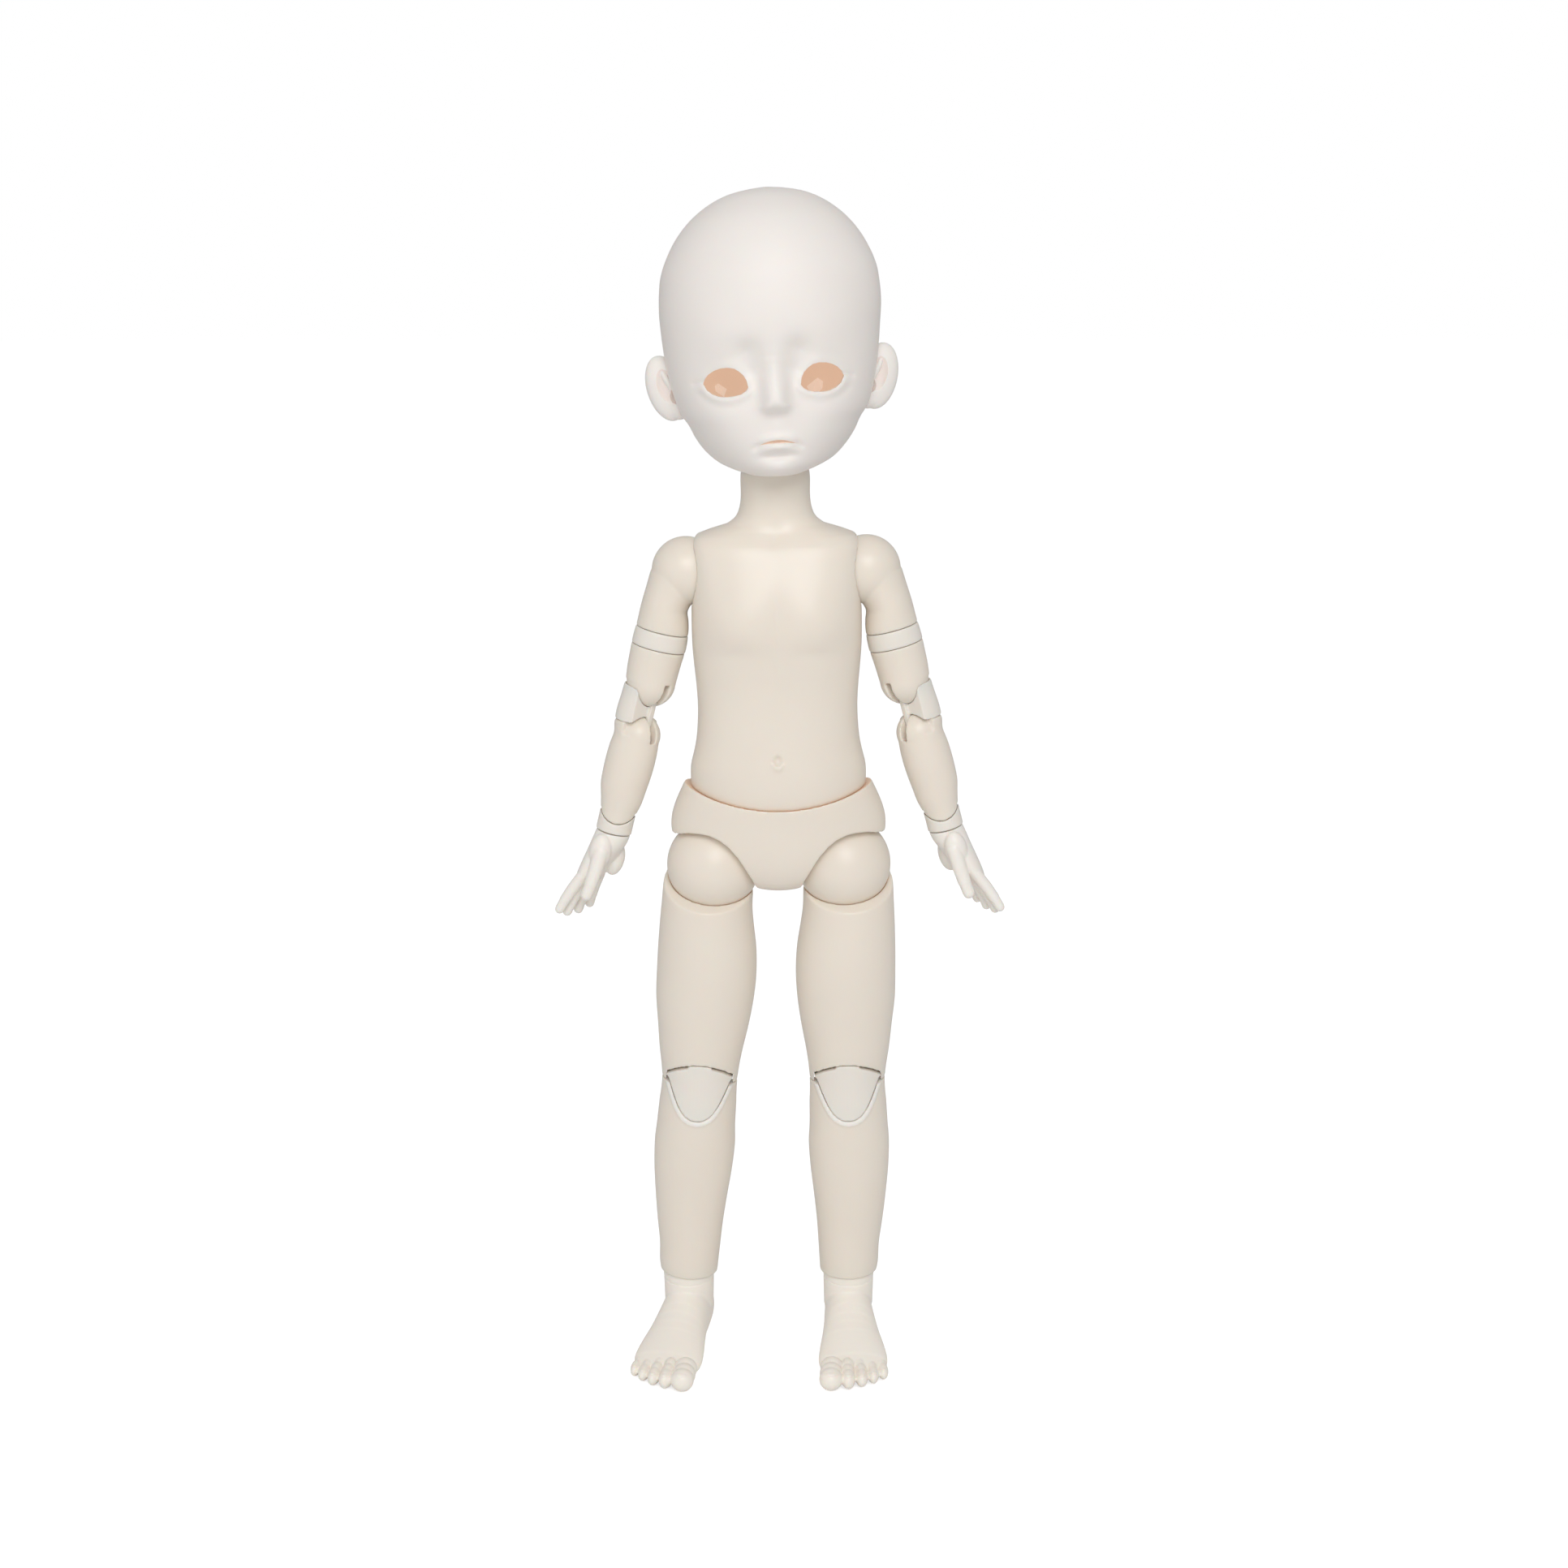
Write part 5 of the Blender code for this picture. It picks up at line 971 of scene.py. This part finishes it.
for sideName, side in (("left", 1), ("right", -1)):
    handFrames[sideName] = armFrames[sideName] @ Matrix.Translation(
        Vector((side * wristOut, 0, ringFoot - 0.3)) * 0.001) @ Matrix.Rotation(
            side * math.radians(poseValues["handTurn"][sideName]), 4, "Z")
placePair(hand, "hand", handFrames, resin="paleHandAndLipHighlight")
print("hands ready")

# Legs, down from the hip's centre
legValues = {
    "rows": (
        (-0.5, 0.9, 11.2, 10.8, 11.6), (-5.0, 1.0, 11.6, 11.2, 12.2),
        (-11.0, 1.0, 11.8, 11.4, 12.4), (-15.5, 0.75, 12.2, 11.6, 12.2),
        (-22.0, 0.25, 12.8, 11.9, 12.2), (-29.0, 0.0, 13.0, 11.8, 12.0),
        (-36.0, 0.05, 12.75, 11.4, 11.6), (-43.0, 0.05, 11.9, 10.8, 10.8),
        (-50.0, 0.2, 10.9, 10.2, 9.6), (-55.0, 0.1, 10.2, 9.8, 8.9),
        (-59.0, 0.0, 9.9, 9.5, 8.7), (-65.0, 0.1, 10.15, 9.4, 9.4),
        (-71.0, 0.2, 10.35, 9.3, 10.6), (-76.0, 0.2, 10.65, 9.1, 11.4),
        (-83.0, 0.25, 10.35, 8.8, 11.4), (-90.5, 0.25, 9.6, 8.4, 10.2),
        (-98.0, 0.1, 8.8, 8.0, 8.8), (-105.0, -0.25, 8.1, 7.8, 8.0),
        (-110.0, -0.3, 7.85, 7.8, 7.8), (-112.4, -0.45, 7.6, 7.7, 7.7)),
    "hipRadius": 12.0, "rimDrop": 4.6, "rimSlope": 27.0, "kneeDrop": 58.0,
    "kneeRadius": 8.2, "kneeReach": 10.4, "kneePower": 2.2,
    "arch": ((0, -51.75), (2.0, -51.9), (4.0, -52.4), (6.0, -53.3), (7.6, -54.4),
             (8.7, -55.4), (8.75, -58.5)),
    "shield": ((0, -67.3), (1.5, -67.1), (3.0, -66.3), (4.2, -65.0), (5.2, -63.4),
               (6.0, -61.7), (6.7, -60.1), (7.3, -58.6), (8.0, -56.8), (8.5, -55.6)),
    "tabHalf": 3.1, "tabDrop": 0.75, "lipWidth": 1.1, "lipRise": 0.32,
    "plateHalf": 3.0, "plateRadius": 6.2, "ankle": (-0.45, 0, -113.0),
    "ankleRadius": 6.8, "shieldVoxel": 0.26, "shinVoxel": 0.34,
}


def legTube(first, last, sides=64, grow=0):
    return limbTube(legValues["rows"], first, last, sides, 0, grow)


hipBall = addBall(legValues["hipRadius"], (0, 0, 0), 96)
cutAxleRoom(hipBall, 135, 186, 20, 6)
weld(hipBall, addRod(2.4, (0, 0, -9), (0, 0, -26), 48))
placePair(hipBall, "hip_ball", legFrames)
kneeHigh = -legValues["kneeDrop"] + legValues["kneeRadius"]
kneeLow = -legValues["kneeDrop"] - legValues["kneeRadius"]


def knuckle(grow, height):
    # A barrel across the leg that the knee link turns on
    reach, power = legValues["kneeReach"], legValues["kneePower"]
    rows = []
    for step in range(-20, 21):
        across = reach * math.sin(math.radians(step * 4.45))
        share = (1 - abs(across / reach) ** power) ** (1 / power)
        radius = legValues["kneeRadius"] * share + grow
        rows.append((across, 0, radius, radius, radius))
    barrel = growTube(rows, 96, 1.0)
    turned(barrel, 90, "Y")
    barrel.location = (0, 0, height)
    return bake(barrel)


def grown(outline, reach):
    # Moves an outline's points outward
    points = []
    for number, point in enumerate(outline):
        before, after = outline[number - 1], outline[(number + 1) % len(outline)]
        run = Vector((after[0] - before[0], after[1] - before[1])).normalized()
        points.append((point[0] + run.y * reach, point[1] - run.x * reach))
    return points


def bothSides(outline):
    # Half an outline, from the middle out, and its mirror image
    mirrored = [(-across, height) for across, height in reversed(outline[1:])]
    return mirrored + list(outline)


arch = bothSides(legValues["arch"])
shieldFoot = bothSides(legValues["shield"])
thigh = legTube(gap, legValues["kneeDrop"] - gap / 2)
rim = addBlock((-20, -20, -legValues["rimDrop"]), (20, 20, 20))
carve(thigh, turned(rim, legValues["rimSlope"], "X", (0, 0, -legValues["rimDrop"])))
carve(thigh, addBall(legValues["hipRadius"] + gap, (0, 0, 0), 96))
carve(thigh, addRod(2.7, (0, 0, -6), (0, 0, -26.3)))
behind = addBlock((-20, 0, kneeHigh - 20), (20, 20, kneeHigh))
carve(behind, knuckle(0, kneeHigh))
carve(thigh, behind)
ahead = addSlab([*reversed(arch), (-8.8, -70), (8.8, -70)], "Y", 10, -10)
carve(ahead, knuckle(0, kneeHigh))
carve(thigh, ahead)
carve(thigh, addSlab(swept(6.5, -90, -25, 20, (0, kneeHigh)), "X", 3.3))
soften(thigh)
tint(thigh, "bodyResin", "seamShade", nearBall((0, 0, 0), legValues["hipRadius"] + gap))
placePair(thigh, "thigh", legFrames)
tab = legValues["tabHalf"]
top = [(across, height - legValues["tabDrop"]) for across, height in arch[1:-1]]
inner = [(across, height + legValues["tabDrop"] - gap) for across, height in top
         if abs(across) < tab]
top = ([point for point in top if point[0] < -tab]
       + [(-tab, -52.2 - legValues["tabDrop"]), (-tab + 0.1, -52.2 - gap), *inner,
          (tab - 0.1, -52.2 - gap), (tab, -52.2 - legValues["tabDrop"])]
       + [point for point in top if point[0] > tab])
shield = legTube(51.4, 68.8)
carve(shield, addSlab([*reversed(top), *shieldFoot[1:-1]], "Y", 10, -10), "INTERSECT")
for height in (kneeHigh, kneeLow):
    carve(shield, knuckle(gap, height))
strap = arc(legValues["plateRadius"], 0, 180, 24, (0, kneeHigh))
strap += arc(legValues["plateRadius"], 180, 360, 24, (0, kneeLow))
weld(shield, addSlab(strap, "X", legValues["plateHalf"]))
soften(shield, legValues["shieldVoxel"])
placePair(shield, "knee_link", legFrames, "knee", "linkResin", "link_cream")
shin = legTube(legValues["kneeDrop"] + gap / 2, 112.4)
behind = addBlock((-20, 0, kneeLow), (20, 20, kneeLow + 20))
carve(behind, knuckle(0, kneeLow))
carve(shin, behind)
valleyTop = ((-12.0, -52.0), (12.0, -52.0))
valley = [valleyTop[0], *grown(shieldFoot, gap), valleyTop[1]]
bowl = addSlab(valley, "Y", 10, -10)
carve(bowl, knuckle(0, kneeLow))
carve(shin, bowl)
ridge = legTube(legValues["kneeDrop"] + gap / 2, 71, 96, legValues["lipRise"])
edge = grown(shieldFoot, gap + legValues["lipWidth"])
carve(ridge, addSlab([valleyTop[0], *edge, valleyTop[1]], "Y", 10, -10), "INTERSECT")
carve(ridge, addSlab(valley, "Y", 30, -10))
weld(shin, ridge)
carve(shin, addSlab(swept(6.5, 25, 90, 20, (0, kneeLow)), "X", 3.3))
carve(shin, addBall(legValues["ankleRadius"] + gap, legValues["ankle"], 64))
soften(shin, legValues["shinVoxel"])


def nearLip(co):
    # True along the edge of the shin that the shield lies in
    if co.y > -1 or co.z < -69.5:
        return False
    return min(lineReach(co.x, co.z, *pair) for pair in zip(
        shieldFoot, shieldFoot[1:])) < gap + legValues["lipWidth"]


# The shin's lip along the shield is painted paler: a painted highlight where its edge catches
# the light
tint(shin, "bodyResin", "paleHandAndLipHighlight", nearLip)
placePair(shin, "shin", legFrames)
print("legs ready")

# Foot, from the middle of the ankle ball, drawn lying back and then stood up
footValues = {
    "rows": (
        (9.2, 0, 2.4, -12.5, 2.5, 2.5), (8.6, 0, 4.2, -12.0, 6.8, 5.5),
        (6.0, 0, 5.5, -12.0, 6.8, 8.6), (2.0, 0, 6.1, -12.0, 6.8, 10.2),
        (-3.0, 0, 6.5, -12.0, 6.8, 10.2), (-8.0, 0.1, 6.9, -12.0, 6.8, 7.6),
        (-13.0, 0.2, 7.6, -13.0, 5.6, 5.8), (-18.0, 0.3, 8.5, -14.0, 4.6, 4.4),
        (-22.5, 0.3, 9.0, -15.0, 3.2, 3.3), (-25.0, 0.2, 8.6, -15.6, 2.4, 2.5),
        (-27.0, 0.1, 7.6, -15.9, 2.1, 1.7)),
    "toes": ((-5.9, -35.8, 3.0, 2.9), (-1.35, -34.9, 1.75, 2.4),
             (2.1, -33.7, 1.58, 2.15), (5.2, -31.8, 1.42, 1.95),
             (7.9, -29.6, 1.35, 1.85)),
    "soleDrop": 18.0, "ankleRadius": 6.8, "columnRadius": 6.4, "voxel": 0.27,
}
foot = bake(growTube([(-row[0], row[1], row[2], 12, 12)
                      for row in footValues["rows"]], 64, 0.8))
footRows = smoothRows(footValues["rows"], 0.25)
for vert in foot.data.vertices:
    along = -vert.co.z
    row = min(footRows, key=lambda other: abs(other[0] - along))
    across = max(-1, min(1, (vert.co.x - row[1]) / max(row[2], 0.1)))
    level = math.sqrt(max(0, 1 - across * across))
    tall = row[3]
    if abs(vert.co.y) >= 0.0001:
        tall += level * (row[5] if vert.co.y > 0 else -row[4])
    vert.co = (vert.co.x, along, tall)
faceOut(foot)
carve(foot, addBlock((-20, -50, -2.6), (20, 20, 20)))
weld(foot, addRod(6.5, (0, 0.2, -9.5), (0, 0, -1.5), 64, 6.7))
weld(foot, addBall(footValues["columnRadius"], (0, 1.0, -9.5), 48, (1, 0.95, 1)))
sole = -footValues["soleDrop"]
for across, tip, half, tall in footValues["toes"]:
    for share, back in ((1, 2.8), (0.97, 5.4), (0.92, 8.4)):
        middle = (across * share, tip + back, sole + tall + back * 0.05)
        weld(foot, addBall(1, middle, 32, (half, 3.0, tall)))
carve(foot, addBlock((-30, -60, -40), (30, 30, sole)))
soften(foot, footValues["voxel"])
for across, tip, half, tall in footValues["toes"]:
    weld(foot, addBall(1, (across, tip + 1.9, sole + tall * 1.62), 24,
                       (half * 0.6, 1.5, tall * 0.3), (-14, 0, 0)))
weld(foot, addBall(footValues["ankleRadius"], (0, 0, 0), 96))
carve(foot, addBlock((-30, -60, -40), (30, 30, sole + 0.02)))
carve(foot, addSlab(swept(1.9, 66, 114, 14, (0, 0)), "X", 2.0))
carve(foot, addRod(3.3, (-1.9, 0, 0), (1.9, 0, 0), 48))
placePair(foot, "foot", footFrames, resin="footResin", slotName="foot_cream")
print("feet ready")

# Floor, light and background
stageValues = {"floorColour": (0.90, 0.90, 0.90), "floorGlow": 0.6,
               "worldStrength": 0.46, "keyPower": 6.6, "fillPower": 0.5}
clearSelection()
bpy.ops.mesh.primitive_plane_add(size=20, location=(0, 0, -0.0002))
floor = bpy.context.object
floor.name = "floor"
floorMaterial = bpy.data.materials.new("paleFloor")
floorMaterial.use_nodes = True
nodes, links = floorMaterial.node_tree.nodes, floorMaterial.node_tree.links
shader = nodes["Principled BSDF"]
shader.inputs["Base Color"].default_value = (*stageValues["floorColour"], 1)
shader.inputs["Roughness"].default_value = 0.9
path = nodes.new("ShaderNodeLightPath")
shader.inputs["Emission Color"].default_value = (1, 1, 1, 1)
glow = addSum(floorMaterial.node_tree, "MULTIPLY", path.outputs["Is Camera Ray"],
              stageValues["floorGlow"])
links.new(glow, shader.inputs["Emission Strength"])
floor.data.materials.append(floorMaterial)

world = bpy.data.worlds.new("studio")
bpy.context.scene.world = world
world.use_nodes = True
nodes, links = world.node_tree.nodes, world.node_tree.links
background = nodes["Background"]
background.inputs["Color"].default_value = (1, 1, 1, 1)
path = nodes.new("ShaderNodeLightPath")
seen = addSum(world.node_tree, "MAXIMUM", path.outputs["Is Camera Ray"],
              path.outputs["Is Transmission Ray"])
level = nodes.new("ShaderNodeMapRange")
level.inputs["To Min"].default_value = stageValues["worldStrength"]
level.inputs["To Max"].default_value = 1.0
links.new(seen, level.inputs["Value"])
links.new(level.outputs["Result"], background.inputs["Strength"])


def addLamp(name, location, target, size, power):
    clearSelection()
    bpy.ops.object.light_add(type="AREA", location=location)
    lamp = bpy.context.object
    lamp.name = name
    lamp.data.shape = "SQUARE"
    lamp.data.size = size
    lamp.data.energy = power
    lamp.rotation_euler = (Vector(target) - Vector(location)).to_track_quat(
        "-Z", "Y").to_euler()


addLamp("keyLamp", (0.08, -1.0, 0.85), (0, 0, 0.17), 0.6, stageValues["keyPower"])
addLamp("fillLamp", (-0.8, -0.5, 0.4), (0, 0, 0.15), 0.6, stageValues["fillPower"])

print("scene ready")
